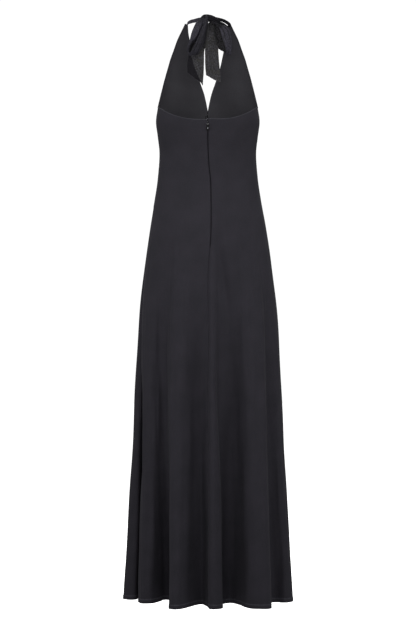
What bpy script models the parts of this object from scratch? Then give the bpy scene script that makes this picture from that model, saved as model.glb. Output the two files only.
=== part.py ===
"""Halter-neck maxi dress, filled out as it is when worn, with a bow at the nape and a concealed back zip.

Frame: metres, +Z up, the front faces -Y, the wearer's left is +X. The origin is the point where the knotted ties
bear on the nape of the neck. Lengths in the tables and constants are millimetres, and heights are written as
drops below the nape, so a bigger drop is further down.
"""

import math

import bmesh
import bpy
import numpy as np
from mathutils import Vector

MM = 0.001
LEFT, RIGHT = 1.0, -1.0    # the wearer's sides

# ---------------------------------------------------------------- driving sizes, mm
WALL = 1.2                 # crepe and its seam allowances
TIE_WALL = 1.4             # the ties are two layers of chiffon
SEAM_GAP = 0.3             # between pieces that are sewn together
AXIS_Y = -50.0             # the body's middle lies this far in front of the nape
ROUNDNESS = 0.9            # power of cosine and sine in a ring: 1 is an ellipse, less is squarer
UNDERARM_DROP = 218.2      # where the side seams end
HEM_DROP = 1479.0
BACK_DIP = 39.3            # how far the back's top edge scoops below the underarm
BACK_DIP_POWER = 2.6
FOLDS_FROM_DROP = 472.0    # the flutes of the skirt grow from here to the hem
FOLD_GROWTH = 1.45
GROOVE_GROWTH = 0.75       # the groove at the left side seam deepens sooner
GROOVE_SPREAD = 9.0        # degrees of turn that it spreads over

# Rings of the body form, by drop: half width, then depth to the front and to the back of the body's middle.
FIGURE = (
    # drop, half_width, front, back
    (218.2, 126.8, 108.0, 96.0),
    (256.0, 131.8, 110.0, 100.0),
    (292.0, 127.5, 107.0, 97.0),
    (338.0, 122.8, 102.0, 91.0),
    (399.0, 127.0, 101.0, 89.5),
    (460.0, 135.9, 104.0, 96.5),
    (522.0, 147.3, 108.0, 106.0),
    (614.0, 161.2, 115.0, 116.0),
    (737.0, 175.2, 124.0, 126.0),
    (860.0, 183.2, 131.0, 133.0),
    (1044.0, 192.0, 140.0, 142.0),
    (1228.0, 202.0, 150.0, 152.0),
    (1479.0, 216.5, 164.0, 164.0),
)

# The halter above the underarm: its armhole edge and its neckline edge, from the body's middle.
HALTER = (
    # drop, armhole_x, armhole_y, neckline_x, neckline_y
    (5.0, 57.5, 6.0, 51.0, -3.0),
    (24.0, 67.5, -6.0, 49.8, -20.0),
    (44.0, 77.8, -16.0, 46.0, -38.0),
    (70.0, 87.6, -26.0, 40.5, -58.0),
    (93.0, 95.9, -31.0, 35.5, -72.0),
    (112.0, 101.0, -32.0, 31.0, -82.0),
    (146.0, 110.2, -28.0, 19.5, -97.0),
    (174.0, 117.0, -20.0, 9.5, -103.0),
    (198.0, 122.5, -10.0, 3.8, -106.5),
    (218.2, 126.8, 0.0, 0.0, -108.0),
)

# The hem seen from above, once round from the right side seam by the front: where each fold line leaves the
# round hip, as an angle, the place it reaches at the hem from the body's middle, and how far the hem lifts.
HEM_FOLDS = (
    # turn, x, y, lift
    (-180.0, -216.0, -2.0, 0.0),     # right side seam
    (-164.0, -201.0, -46.0, 0.0),
    (-148.0, -178.0, -82.0, 0.0),    # front flute 1
    (-138.0, -150.0, -88.0, 0.0),
    (-128.0, -128.0, -66.0, 4.0),
    (-121.0, -112.0, -100.0, 2.0),
    (-116.0, -103.0, -142.0, 0.0),   # front flute 2
    (-109.0, -84.0, -163.0, 0.0),
    (-103.0, -60.0, -150.0, 0.0),
    (-98.0, -42.0, -108.0, 2.0),
    (-94.0, -24.0, -82.0, 4.0),
    (-90.0, -2.0, -104.0, 2.0),      # centre-front seam
    (-86.0, 10.0, -146.0, 0.0),      # front flute 3
    (-81.0, 30.0, -166.0, 0.0),
    (-76.0, 48.0, -142.0, 0.0),
    (-72.0, 56.0, -104.0, 2.0),
    (-67.0, 74.0, -78.0, 4.0),
    (-61.0, 92.0, -104.0, 2.0),
    (-56.0, 106.0, -142.0, 0.0),     # front flute 4
    (-49.0, 128.0, -158.0, 0.0),
    (-42.0, 150.0, -140.0, 0.0),
    (-36.0, 162.0, -100.0, 2.0),
    (-29.0, 180.0, -72.0, 3.0),
    (-20.0, 204.0, -60.0, 0.0),      # strip that shows past the left side seam
    (-10.0, 217.0, -34.0, 0.0),
    (-5.0, 203.0, -16.0, 0.0),
    (-2.0, 186.0, -12.0, 1.0),
    (0.0, 177.0, -38.0, 2.0),        # left side seam, deep in its groove
    (4.0, 170.0, -16.0, 1.0),
    (9.0, 175.5, 20.0, 0.0),
    (18.0, 171.0, 50.0, 0.0),        # back flute 1
    (28.0, 157.0, 68.0, 1.0),
    (37.0, 138.0, 66.0, 2.0),
    (44.0, 123.0, 44.0, 4.0),
    (50.0, 113.0, 26.0, 5.0),
    (54.0, 101.0, 23.0, 5.0),
    (56.5, 93.0, 36.0, 4.0),
    (58.0, 90.0, 66.0, 3.0),
    (59.5, 91.0, 102.0, 2.0),
    (61.0, 95.5, 134.0, 1.0),        # back flute 2, its edge folded over the valley
    (63.0, 95.5, 153.0, 0.0),
    (66.0, 86.0, 167.0, 0.0),
    (70.5, 72.0, 165.0, 0.0),
    (74.0, 58.0, 148.0, 0.0),
    (77.5, 45.0, 124.0, 1.0),
    (81.0, 31.0, 100.0, 2.0),
    (85.5, 15.0, 86.0, 2.0),
    (88.0, 5.0, 102.0, 1.0),
    (90.0, -1.5, 132.0, 1.0),        # centre-back seam
    (91.2, -8.0, 156.0, 0.0),        # back flute 3
    (92.8, -19.0, 165.0, 0.0),
    (94.4, -31.0, 156.0, 0.0),
    (95.4, -36.5, 138.0, 0.0),
    (96.4, -35.0, 112.0, 0.0),
    (98.0, -34.5, 85.0, 1.0),
    (101.5, -43.0, 63.0, 1.0),
    (106.5, -57.0, 55.0, 1.0),
    (112.5, -71.0, 66.0, 1.0),
    (116.5, -83.0, 92.0, 1.0),
    (120.0, -94.0, 124.0, 0.0),
    (124.0, -105.0, 148.0, 0.0),     # back flute 4
    (129.5, -122.0, 161.0, 0.0),
    (135.0, -141.0, 160.0, 0.0),
    (138.5, -153.0, 148.0, 0.0),
    (140.0, -157.5, 130.0, 0.0),
    (141.2, -156.0, 106.0, 0.0),
    (142.6, -154.0, 80.0, 0.0),
    (145.0, -158.0, 56.0, 0.0),
    (149.0, -169.0, 42.0, 0.0),
    (155.0, -182.0, 37.0, 0.0),
    (161.0, -196.0, 41.0, 0.0),
    (168.0, -209.0, 31.0, 0.0),
    (174.0, -215.5, 13.0, 0.0),
)

# Sideways wander of the centre-back seam and its zip.
BACK_SEAM_WANDER = (
    # drop, x
    (218.0, 0.0),
    (292.0, 0.0),
    (367.0, -2.4),
    (417.0, -7.4),
    (482.0, -8.4),
    (542.0, -7.6),
    (592.0, -4.6),
    (672.0, -0.6),
    (1479.0, 0.0),
)
WANDER_SPREAD = 16.0       # degrees of turn over which the wander fades

BUST_X, BUST_DROP, BUST_RISE = 72.0, 254.0, 15.0
BUST_WIDTH, BUST_HEIGHT = 46.0, 52.0

HALTER_ROWS = (5.0, 15.0, 28.0, 46.0, 68.0, 93.0, 120.0, 148.0, 174.0, 197.0)
BODY_ROWS = (218.2, 238.0, 260.0, 285.0, 314.0, 345.0, 375.0, 402.0, 430.0, 460.0, 492.0, 526.0, 562.0,
             602.0, 650.0, 710.0, 785.0, 872.0, 977.0, 1087.0, 1197.0, 1302.0, 1397.0, 1479.0)
BACK_COLUMNS = 33
FRONT_COLUMNS = 24
CHAIN_ROWS = 24

# Each stretch of tie is a strip between two edges: one row for each place along it, mm from the nape.
TIE_LEFT = (
    # lower edge x, y, z, upper edge x, y, z
    (57.5, -44.0, -4.6, 51.0, -53.0, -4.6),
    (56.0, -36.0, -2.5, 49.5, -43.0, 3.0),
    (48.5, -20.0, -1.5, 45.0, -26.0, 8.0),
    (34.0, -4.0, -0.5, 32.5, -8.0, 10.0),
    (15.5, 6.0, 0.0, 15.0, 5.0, 9.5),
)
TIE_RIGHT = (
    # lower edge x, y, z, upper edge x, y, z
    (-57.5, -44.0, -4.6, -51.0, -53.0, -4.6),
    (-57.0, -35.0, -3.5, -50.5, -43.0, 2.0),
    (-51.0, -19.0, -3.0, -46.5, -26.0, 6.5),
    (-38.0, -3.0, -1.5, -36.0, -8.0, 9.0),
    (-21.5, 6.0, -0.5, -21.0, 5.0, 9.0),
)
LOOP_LEFT = (
    # left edge x, y, z, right edge x, y, z: down the near layer, round the fold, up the far layer
    (11.5, 17.0, 9.7, 1.5, 19.5, -4.1),
    (27.0, 23.0, -8.2, 0.5, 26.0, -28.6),
    (39.0, 27.0, -34.7, 4.0, 29.0, -58.1),
    (45.0, 29.0, -59.2, 18.0, 30.0, -76.5),
    (51.0, 27.0, -82.6, 30.0, 28.0, -90.8),
    (51.0, 22.0, -94.9, 38.0, 22.0, -98.9),
    (50.0, 16.5, -90.8, 36.0, 16.0, -92.8),
    (46.0, 14.0, -73.4, 30.0, 13.5, -78.5),
    (37.0, 13.0, -51.0, 18.0, 13.0, -58.1),
    (26.0, 13.0, -26.5, 9.0, 13.0, -34.7),
    (13.0, 13.5, -9.7, 3.5, 13.5, -13.8),
)
LOOP_RIGHT = (
    # left edge x, y, z, right edge x, y, z: down the near layer, round the fold, up the far layer
    (-13.0, 17.5, -9.2, -17.5, 16.5, 4.1),
    (-29.0, 23.0, -22.4, -40.0, 19.0, -9.2),
    (-36.0, 27.0, -40.8, -58.0, 19.0, -31.6),
    (-42.0, 28.0, -59.2, -63.5, 18.0, -57.1),
    (-39.0, 24.0, -77.5, -61.0, 16.0, -83.6),
    (-34.0, 17.0, -80.6, -54.0, 11.0, -88.7),
    (-28.0, 11.0, -70.4, -46.0, 6.0, -77.5),
    (-26.0, 8.0, -49.0, -41.0, 4.0, -54.1),
    (-23.5, 8.0, -29.6, -34.0, 5.0, -30.6),
    (-17.5, 9.5, -12.2, -22.5, 9.0, -8.2),
)
TAIL_LEFT = (
    # left edge x, y, z, right edge x, y, z
    (9.5, 6.5, -9.2, -1.0, 7.0, -11.7),
    (20.0, 5.0, -27.5, 4.5, 6.5, -32.6),
    (33.0, 6.0, -53.0, 7.0, 9.0, -59.2),
    (46.0, 9.0, -81.6, 9.0, 15.0, -83.6),
    (50.5, 15.0, -106.1, 9.5, 24.0, -110.2),
    (51.5, 20.0, -122.4, 10.5, 30.0, -140.8),
    (51.0, 24.0, -136.7, 13.0, 36.0, -172.4),
)
TAIL_RIGHT = (
    # left edge x, y, z, right edge x, y, z
    (0.5, 19.0, -11.2, -9.0, 18.5, -12.8),
    (1.5, 20.0, -32.6, -16.0, 17.5, -34.7),
    (6.0, 21.0, -63.2, -22.5, 18.5, -61.2),
    (7.0, 23.0, -91.8, -27.0, 23.0, -91.8),
    (6.0, 28.0, -118.3, -30.5, 29.0, -124.4),
    (4.5, 33.0, -142.8, -33.5, 36.0, -164.2),
)
KNOT_CENTRE = (-3.0, 9.5, 1.0)
KNOT_RADII = (16.5, 9.5, 11.5)
KNOT_CREASES, KNOT_CREASE_DEPTH, KNOT_TWIST = 3, 0.05, 2.0

CHAIN_START, ZIP_END_DROP = 7.5, 584.0     # the chain starts this far below the top edge, under the hook and eye
CHAIN_WIDTH, CHAIN_WALL = 7.0, 1.4
SLIDER_DROP = 271.0
SLIDER_LENGTH, SLIDER_TOP_WIDTH, SLIDER_NOSE_WIDTH, SLIDER_DEPTH = 8.4, 5.6, 4.2, 2.0
BAIL_WIDTH, BAIL_BAR = 1.3, 0.9
PULL_LENGTH, PULL_TOP_HALF, PULL_BELLY_HALF = 15.5, 2.5, 3.7
PULL_WALL = 1.2            # the tab is stamped sheet, and its top bar is as thick as it is high
PULL_CLEARANCE = 0.35
WINDOW_HALF = 1.25         # opening in the tab that the bail passes through
HOOK_WIRE_RADIUS = 0.55
HOOK_REACH = 8.0           # the wires' ends are sewn down this far from the seam

CREPE_BLACK = (0.0212, 0.0212, 0.0262)
CHIFFON_BLACK = (0.0452, 0.0423, 0.0545)
TAPE_BLACK = (0.0120, 0.0120, 0.0130)
ENAMEL_GREY = (0.0900, 0.0900, 0.0950)
LACQUER_BLACK = (0.0150, 0.0150, 0.0160)


# ---------------------------------------------------------------- curves through tables
def column(table, number):
    """One column of a table as an array."""
    return np.array([row[number] for row in table], dtype=float)


def through(keys, values, at, monotone=False):
    """Cubic curve through (keys, values), read at each of `at`.

    The slope at a key is that of the curve's neighbours; a monotone curve takes their harmonic mean instead, and
    so never overshoots.
    """
    at = np.clip(at, keys[0], keys[-1])
    chords = np.diff(values) / np.diff(keys)
    if monotone:
        before, after = chords[:-1], chords[1:]
        same_way = before * after > 0
        both = np.where(same_way, before + after, 1.0)
        inner = np.where(same_way, 2 * before * after / both, 0.0)
        slopes = np.concatenate(([chords[0]], inner, [chords[-1]]))
    else:
        slopes = np.gradient(values, keys)
    i = np.clip(np.searchsorted(keys, at, side="right") - 1, 0, len(keys) - 2)
    span = keys[i + 1] - keys[i]
    t = (at - keys[i]) / span
    return ((1 + 2 * t) * (1 - t) ** 2 * values[i] + t * (1 - t) ** 2 * span * slopes[i]
            + t * t * (3 - 2 * t) * values[i + 1] + t * t * (t - 1) * span * slopes[i + 1])


def figure_ring(drop):
    """Half width, front depth and back depth of the body form at a drop."""
    keys = column(FIGURE, 0)
    return tuple(through(keys, column(FIGURE, n), drop, monotone=True) for n in (1, 2, 3))


class HemRing:
    """The fluted hem as a closed curve: u counts the rows of HEM_FOLDS, and goes on past either end."""

    MARGIN = 4

    def __init__(self):
        count = len(HEM_FOLDS)
        index = np.arange(-self.MARGIN, count + self.MARGIN)
        rows = np.array(HEM_FOLDS)[index % count]
        rows[:, 0] += 360.0 * (index // count)
        self.keys = index.astype(float)
        self.rows = rows

    def turn(self, u):
        return through(self.keys, self.rows[:, 0], u, monotone=True)

    def x(self, u):
        return through(self.keys, self.rows[:, 1], u)

    def y(self, u):
        return through(self.keys, self.rows[:, 2], u)

    def lift(self, u):
        return through(self.keys, self.rows[:, 3], u, monotone=True)

    def at_turn(self, turn):
        """u where the fold lines leave the hip at this angle."""
        return float(np.interp(turn, self.rows[:, 0], self.keys))

    def columns(self, first_turn, last_turn, count):
        """u of count + 1 lines that share the hem's length between two seams equally."""
        fine = np.linspace(self.at_turn(first_turn), self.at_turn(last_turn), 2000)
        steps = np.hypot(np.diff(self.x(fine)), np.diff(self.y(fine)))
        length = np.concatenate(([0.0], np.cumsum(steps)))
        return np.interp(np.linspace(0.0, length[-1], count + 1), length, fine)


HEM = HemRing()


def signed_power(value):
    return np.sign(value) * np.abs(value) ** ROUNDNESS


def bust(x, drop):
    """How far the cups stand out at a point of the front."""
    across = (np.abs(x) - BUST_X) / BUST_WIDTH
    down = (drop - BUST_DROP) / BUST_HEIGHT
    return BUST_RISE * np.exp(-across ** 2 - down ** 2)


def halter_point(turn, drop, side):
    """Outer face of the halter on one side: a quarter oval from the armhole edge to the neckline edge."""
    keys = column(HALTER, 0)
    arm_x, arm_y, neck_x, neck_y = (through(keys, column(HALTER, n), drop, monotone=True) for n in (1, 2, 3, 4))
    quarter = np.radians(-turn if side == LEFT else turn + 180.0)
    across = signed_power(np.cos(quarter))
    forward = signed_power(np.sin(quarter))
    x = neck_x + (arm_x - neck_x) * across
    y = arm_y + (neck_y - arm_y) * forward
    return side * x, y - bust(x, drop) * forward


def body_point(turn, drop, u):
    """Outer face of the body below the underarm: the smooth form, moved towards the fluted hem as it falls."""
    half_width, front, back = figure_ring(drop)
    hem_half_width, hem_front, hem_back = figure_ring(HEM_DROP)
    across = signed_power(np.cos(np.radians(turn)))
    around = signed_power(np.sin(np.radians(turn)))
    depth = np.where(around < 0, front, back)
    hem_depth = np.where(around < 0, hem_front, hem_back)
    x = half_width * across
    y = depth * around - np.where(around < 0, bust(x, drop) * -around, 0.0)
    wander = through(column(BACK_SEAM_WANDER, 0), column(BACK_SEAM_WANDER, 1), drop, monotone=True)
    x = x + wander * np.exp(-((turn - 90.0) / WANDER_SPREAD) ** 2)
    fall = np.clip((drop - FOLDS_FROM_DROP) / (HEM_DROP - FOLDS_FROM_DROP), 0.0, 1.0)
    share = fall ** (FOLD_GROWTH + (GROOVE_GROWTH - FOLD_GROWTH) * np.exp(-(turn / GROOVE_SPREAD) ** 2))
    x = x + share * (HEM.x(u) - hem_half_width * across)
    y = y + share * (HEM.y(u) - hem_depth * around)
    return x, y


def dress_point(u, drop, side=LEFT):
    """Outer face of the dress, in mm from the nape, as an array of points for arrays of u and drop.

    The side only matters above the underarm, where the two halves of the halter part.
    """
    turn = HEM.turn(u)
    halter_x, halter_y = halter_point(turn, np.minimum(drop, UNDERARM_DROP), side)
    body_x, body_y = body_point(turn, np.maximum(drop, UNDERARM_DROP), u)
    above = drop < UNDERARM_DROP
    return np.stack((np.where(above, halter_x, body_x), np.where(above, halter_y, body_y) + AXIS_Y, -drop), axis=-1)


def outward(u, drop, side=LEFT, u_step=0.04, drop_step=1.0):
    """Outward unit normal of the dress, from its slopes round and down."""
    around = dress_point(u + u_step, drop, side) - dress_point(u - u_step, drop, side)
    down = dress_point(u, drop + drop_step, side) - dress_point(u, drop - drop_step, side)
    normal = np.cross(down, around)
    return normal / np.linalg.norm(normal, axis=-1, keepdims=True)


def back_top_drop(turn):
    """Drop of the back's scooped top edge at an angle."""
    reach = np.abs(signed_power(np.cos(np.radians(turn))))
    return UNDERARM_DROP + BACK_DIP * (1.0 - reach ** BACK_DIP_POWER)


# ---------------------------------------------------------------- building solids
def make_material(name, colour, roughness, metallic=0.0):
    material = bpy.data.materials.new(name)
    material.use_nodes = True
    shader = material.node_tree.nodes["Principled BSDF"]
    shader.inputs["Base Color"].default_value = (*colour, 1.0)
    shader.inputs["Roughness"].default_value = roughness
    shader.inputs["Metallic"].default_value = metallic
    return material


def make_object(name, mesh, material):
    mesh.materials.append(material)
    mesh.shade_smooth()
    mesh.set_sharp_from_angle(angle=math.radians(40.0))
    item = bpy.data.objects.new(name, mesh)
    bpy.context.scene.collection.objects.link(item)
    return item


def wall_between(name, outer, inner, material):
    """Closed wall between two grids of points of one shape, in mm: rows run down and columns run round."""
    rows, columns = outer.shape[:2]
    number = np.arange(rows * columns).reshape(rows, columns)
    a, b, c, d = (number[:-1, :-1].ravel(), number[1:, :-1].ravel(), number[1:, 1:].ravel(), number[:-1, 1:].ravel())
    outer_faces = np.concatenate((np.stack((a, b, c), 1), np.stack((a, c, d), 1)))
    rim = np.concatenate((number[:, 0], number[-1, 1:], number[-2::-1, -1], number[0, -2:0:-1]))
    following = np.roll(rim, -1)
    far = rows * columns
    rim_faces = np.concatenate((np.stack((following, rim, rim + far), 1),
                                np.stack((following, rim + far, following + far), 1)))
    inner_faces = outer_faces[:, ::-1] + far
    faces = np.concatenate((outer_faces, inner_faces, rim_faces))
    points = np.concatenate((outer.reshape(-1, 3), inner.reshape(-1, 3))) * MM
    mesh = bpy.data.meshes.new(name)
    mesh.from_pydata(points.tolist(), [], faces.tolist())
    return make_object(name, mesh, material)


def part_seams(grid, shift_from):
    """Moves the first and last column of a grid in by half a seam's gap, the way the outer face runs there."""
    moved = grid.copy()
    for edge, neighbour in ((0, 1), (-1, -2)):
        way = shift_from[:, neighbour] - shift_from[:, edge]
        way = way / np.linalg.norm(way, axis=-1, keepdims=True)
        moved[:, edge] += way * SEAM_GAP / 2
    return moved


def panel(name, side, u_line, drops, material):
    """One cut panel: its outer face at u_line and drops, and its inner face a wall's thickness in."""
    u = np.broadcast_to(u_line, drops.shape)
    outer = dress_point(u, drops, side)
    inner = outer - outward(u, drops, side) * WALL
    return wall_between(name, part_seams(outer, outer), part_seams(inner, outer), material)


def hem_drop(u_line):
    return HEM_DROP - HEM.lift(u_line)


def back_panel(name, side, first_turn, last_turn, material):
    u_line = HEM.columns(first_turn, last_turn, BACK_COLUMNS)
    top = back_top_drop(HEM.turn(u_line))
    share = (np.array(BODY_ROWS) - UNDERARM_DROP) / (HEM_DROP - UNDERARM_DROP)
    drops = top + share[:, None] * (hem_drop(u_line) - top)
    return panel(name, side, u_line, drops, material)


def front_panel(name, side, first_turn, last_turn, material):
    u_line = HEM.columns(first_turn, last_turn, FRONT_COLUMNS)
    share = (np.array(BODY_ROWS) - UNDERARM_DROP) / (HEM_DROP - UNDERARM_DROP)
    body = UNDERARM_DROP + share[:, None] * (hem_drop(u_line) - UNDERARM_DROP)
    halter = np.repeat(np.array(HALTER_ROWS)[:, None], len(u_line), axis=1)
    return panel(name, side, u_line, np.concatenate((halter, body)), material)


def outside_knot(points, clearance, pulled_in):
    """Pushes points that lie in the knot out to a clearance from it; pulled-in rows come to that clearance too."""
    centre, radii = np.array(KNOT_CENTRE), np.array(KNOT_RADII) + clearance
    reach = np.linalg.norm((points - centre) / radii, axis=-1, keepdims=True)
    return np.where((reach < 1.0) | pulled_in, centre + (points - centre) / reach, points)


def strip(name, table, steps, across, clearance, ends_at_knot, material):
    """A stretch of tie: a wall between the two edges of its table, some of its ends seated on the knot."""
    keys = np.arange(len(table), dtype=float)
    along = np.linspace(0.0, keys[-1], steps + 1)
    edges = np.stack([through(keys, column(table, n), along) for n in range(6)], axis=-1)
    share = np.linspace(0.0, 1.0, across + 1)[None, :, None]
    middle = edges[:, None, :3] * (1 - share) + edges[:, None, 3:] * share
    pulled_in = np.zeros((steps + 1, 1, 1), dtype=bool)
    pulled_in[list(ends_at_knot)] = True
    middle = outside_knot(middle, clearance, pulled_in)
    normal = np.cross(np.gradient(middle, axis=0), np.gradient(middle, axis=1))
    normal /= np.linalg.norm(normal, axis=-1, keepdims=True)
    half = normal * TIE_WALL / 2
    return wall_between(name, middle + half, middle - half, material)


def knot(material):
    """The bow's knot: a flattened ball with slanting creases."""
    mesh = bpy.data.meshes.new("bow_knot")
    shape = bmesh.new()
    bmesh.ops.create_uvsphere(shape, u_segments=20, v_segments=12, radius=1.0)
    for vertex in shape.verts:
        angle = math.atan2(vertex.co.z, vertex.co.y)
        crease = 0.5 - 0.5 * math.cos(KNOT_CREASES * angle + KNOT_TWIST * vertex.co.x)
        ring = 1.0 - vertex.co.x ** 2
        scale = 1.0 - KNOT_CREASE_DEPTH * ring * crease
        vertex.co = Vector([(centre + radius * scale * value) * MM
                            for centre, radius, value in zip(KNOT_CENTRE, KNOT_RADII, vertex.co)])
    shape.to_mesh(mesh)
    shape.free()
    return make_object("bow_knot", mesh, material)


def tube(name, path, radius, sides, material, closed=False):
    """A wire along a path of points in mm, round in section, its ends filled unless it closes on itself."""
    curve = bpy.data.curves.new(name, "CURVE")
    curve.dimensions = "3D"
    curve.bevel_depth = radius * MM
    curve.bevel_resolution = sides // 2 - 2
    curve.use_fill_caps = not closed
    spline = curve.splines.new("POLY")
    spline.points.add(len(path) - 1)
    for point, place in zip(spline.points, path):
        point.co = (*(Vector(place) * MM), 1.0)
    spline.use_cyclic_u = closed
    curve.materials.append(material)
    item = bpy.data.objects.new(name, curve)
    bpy.context.scene.collection.objects.link(item)
    return item


def prism(name, outline, axis, depth):
    """A mesh: an outline in mm, drawn on the plane across an axis, drawn out by half a depth each way along it."""
    place = {"X": lambda p, q, r: (r, p, q), "Y": lambda p, q, r: (p, r, q)}[axis]
    shape = bmesh.new()
    ring = [shape.verts.new(Vector(place(p, q, -depth / 2)) * MM) for p, q in outline]
    base = shape.faces.new(ring)
    drawn = bmesh.ops.extrude_face_region(shape, geom=[base])
    moved = [item for item in drawn["geom"] if isinstance(item, bmesh.types.BMVert)]
    bmesh.ops.translate(shape, vec=Vector(place(0.0, 0.0, depth)) * MM, verts=moved)
    bmesh.ops.recalc_face_normals(shape, faces=shape.faces)
    mesh = bpy.data.meshes.new(name)
    shape.to_mesh(mesh)
    shape.free()
    return mesh


def tool_form(item, name, mesh, operation):
    """A hidden form that is joined to an item or cut from it."""
    form = bpy.data.objects.new(name, mesh)
    bpy.context.scene.collection.objects.link(form)
    form.hide_render = True
    form.display_type = "WIRE"
    work = item.modifiers.new(name, "BOOLEAN")
    work.operation = operation
    work.solver = "EXACT"
    work.object = form
    return form


# ---------------------------------------------------------------- the closure
def against_back(x, drop, depth):
    """Points inside the back by their distance from the centre seam, their drop and their depth, as arrays."""
    x, drop = np.broadcast_arrays(x, drop)
    seam = np.full(drop.shape, HEM.at_turn(90.0))
    round_way = (dress_point(seam + 0.05, drop) - dress_point(seam - 0.05, drop)) / 0.1
    u = seam - x / np.linalg.norm(round_way, axis=-1)
    return dress_point(u, drop) - outward(u, drop) * depth


def zip_chain(material):
    """The closed chain and its tape, inside the back along the seam, from under the top edge to the zip's end."""
    x = np.linspace(CHAIN_WIDTH / 2, -CHAIN_WIDTH / 2, 5)
    drops = np.linspace(back_top_drop(90.0) + CHAIN_START, ZIP_END_DROP, CHAIN_ROWS)[:, None]
    near = WALL + SEAM_GAP
    return wall_between("zip_chain", against_back(x, drops, near), against_back(x, drops, near + CHAIN_WALL), material)


def slider_seat():
    """Where the slider bears on the back, in mm, and the tilt of the cloth there about X."""
    seam = HEM.at_turn(90.0)
    place = dress_point(seam, SLIDER_DROP)
    normal = outward(seam, SLIDER_DROP)
    return Vector(place), math.atan2(normal[2], normal[1])


def bail_half_opening():
    """Half the bail's opening: the pull's square bar turns in it with a clearance round its corners."""
    return math.hypot(PULL_WALL, PULL_WALL) / 2 + PULL_CLEARANCE


def bar_height():
    """Distance of the pull's bar from the cloth under the slider."""
    return SEAM_GAP + SLIDER_DEPTH + bail_half_opening()


def zip_slider(material):
    """Slider: a tapered block on the cloth, with a bail arched over it for the pull's bar."""
    half, top, nose = SLIDER_LENGTH / 2, SLIDER_TOP_WIDTH / 2, SLIDER_NOSE_WIDTH / 2
    outline = ((-nose, -half), (nose, -half), (top, 0.2 * half), (0.7 * top, half), (-0.7 * top, half), (-top, 0.2 * half))
    block = prism("zip_slider", outline, "Y", SLIDER_DEPTH)
    item = make_object("zip_slider", block, material)
    leg = bail_half_opening()
    low = -0.5 * SLIDER_DEPTH
    crown = 0.5 * SLIDER_DEPTH + 2 * leg
    arch = ((low, -leg - BAIL_BAR), (crown, -leg - BAIL_BAR), (crown + BAIL_BAR, -leg), (crown + BAIL_BAR, leg),
            (crown, leg + BAIL_BAR), (low, leg + BAIL_BAR), (low, leg), (crown, leg), (crown, -leg), (low, -leg))
    bail = tool_form(item, "bail_form", prism("bail_form", arch, "X", BAIL_WIDTH), "UNION")
    place, tilt = slider_seat()
    middle = Vector((0.0, SEAM_GAP + SLIDER_DEPTH / 2, 0.0))
    for piece in (item, bail):
        piece.rotation_euler = (tilt, 0.0, 0.0)
        piece.location = (place + turned(middle, tilt)) * MM
    return item


def turned(vector, tilt):
    """A vector turned about X by an angle."""
    cosine, sine = math.cos(tilt), math.sin(tilt)
    return Vector((vector.x, vector.y * cosine - vector.z * sine, vector.y * sine + vector.z * cosine))


def zip_pull(material):
    """Pull tab: a drop-shaped plate, its top cut open so that a bar is left, which lies in the bail.

    Its origin is on the bar's axis.
    """
    bar = PULL_WALL / 2
    belly_drop = PULL_LENGTH - PULL_BELLY_HALF
    rise = np.linspace(0.0, 1.0, 5)
    side = [(PULL_TOP_HALF + (PULL_BELLY_HALF - PULL_TOP_HALF) * s * s, bar - (belly_drop + bar) * s) for s in rise[:-1]]
    arc = [(PULL_BELLY_HALF * math.cos(a), -belly_drop - PULL_BELLY_HALF * math.sin(a))
           for a in np.linspace(0.0, math.pi, 13)]
    outline = side + arc + [(-x, z) for x, z in reversed(side)]
    item = make_object("zip_pull", prism("zip_pull", outline, "Y", PULL_WALL), material)
    reach = math.hypot(bail_half_opening(), bail_half_opening() + BAIL_BAR) + PULL_CLEARANCE
    opening = ((-WINDOW_HALF, -bar), (WINDOW_HALF, -bar), (WINDOW_HALF, -reach), (-WINDOW_HALF, -reach))
    window = tool_form(item, "window_form", prism("window_form", opening, "Y", 3 * PULL_WALL), "DIFFERENCE")
    place, tilt = slider_seat()
    for piece in (item, window):
        piece.location = (place + turned(Vector((0.0, bar_height(), 0.0)), tilt)) * MM
        piece.rotation_euler = (tilt, 0.0, 0.0)
    return item


def hook_and_eye(material):
    """Wire hook on the right half and wire eye on the left, inside the top edge, each lying against its panel."""
    near = WALL + SEAM_GAP + HOOK_WIRE_RADIUS
    far = near + 2 * HOOK_WIRE_RADIUS + SEAM_GAP
    # each place is a distance from the seam, a drop below the top edge and a depth inside the back
    bow = [(1.6 - 2.4 * math.cos(a), 2.9 + 2.1 * math.sin(a), near)
           for a in np.linspace(0.5 * math.pi, -0.5 * math.pi, 7)]
    eye_path = [(HOOK_REACH, 4.6, near), (4.6, 5.0, near), *bow, (4.6, 0.8, near), (HOOK_REACH, 1.2, near)]
    hook_path = [(-HOOK_REACH, 4.4, near), (-5.6, 4.6, near), (-3.4, 4.0, far), (0.0, 3.6, far), (2.2, 3.4, far),
                 (2.2, 2.4, far), (0.0, 2.2, far), (-3.4, 1.8, far), (-5.6, 1.2, near), (-HOOK_REACH, 1.4, near)]
    for name, path in (("eye", eye_path), ("hook", hook_path)):
        x, down, depth = np.array(path).T
        points = against_back(x, back_top_drop(90.0) + down, depth[:, None])
        tube(name, points, HOOK_WIRE_RADIUS, 6, material)


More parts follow.
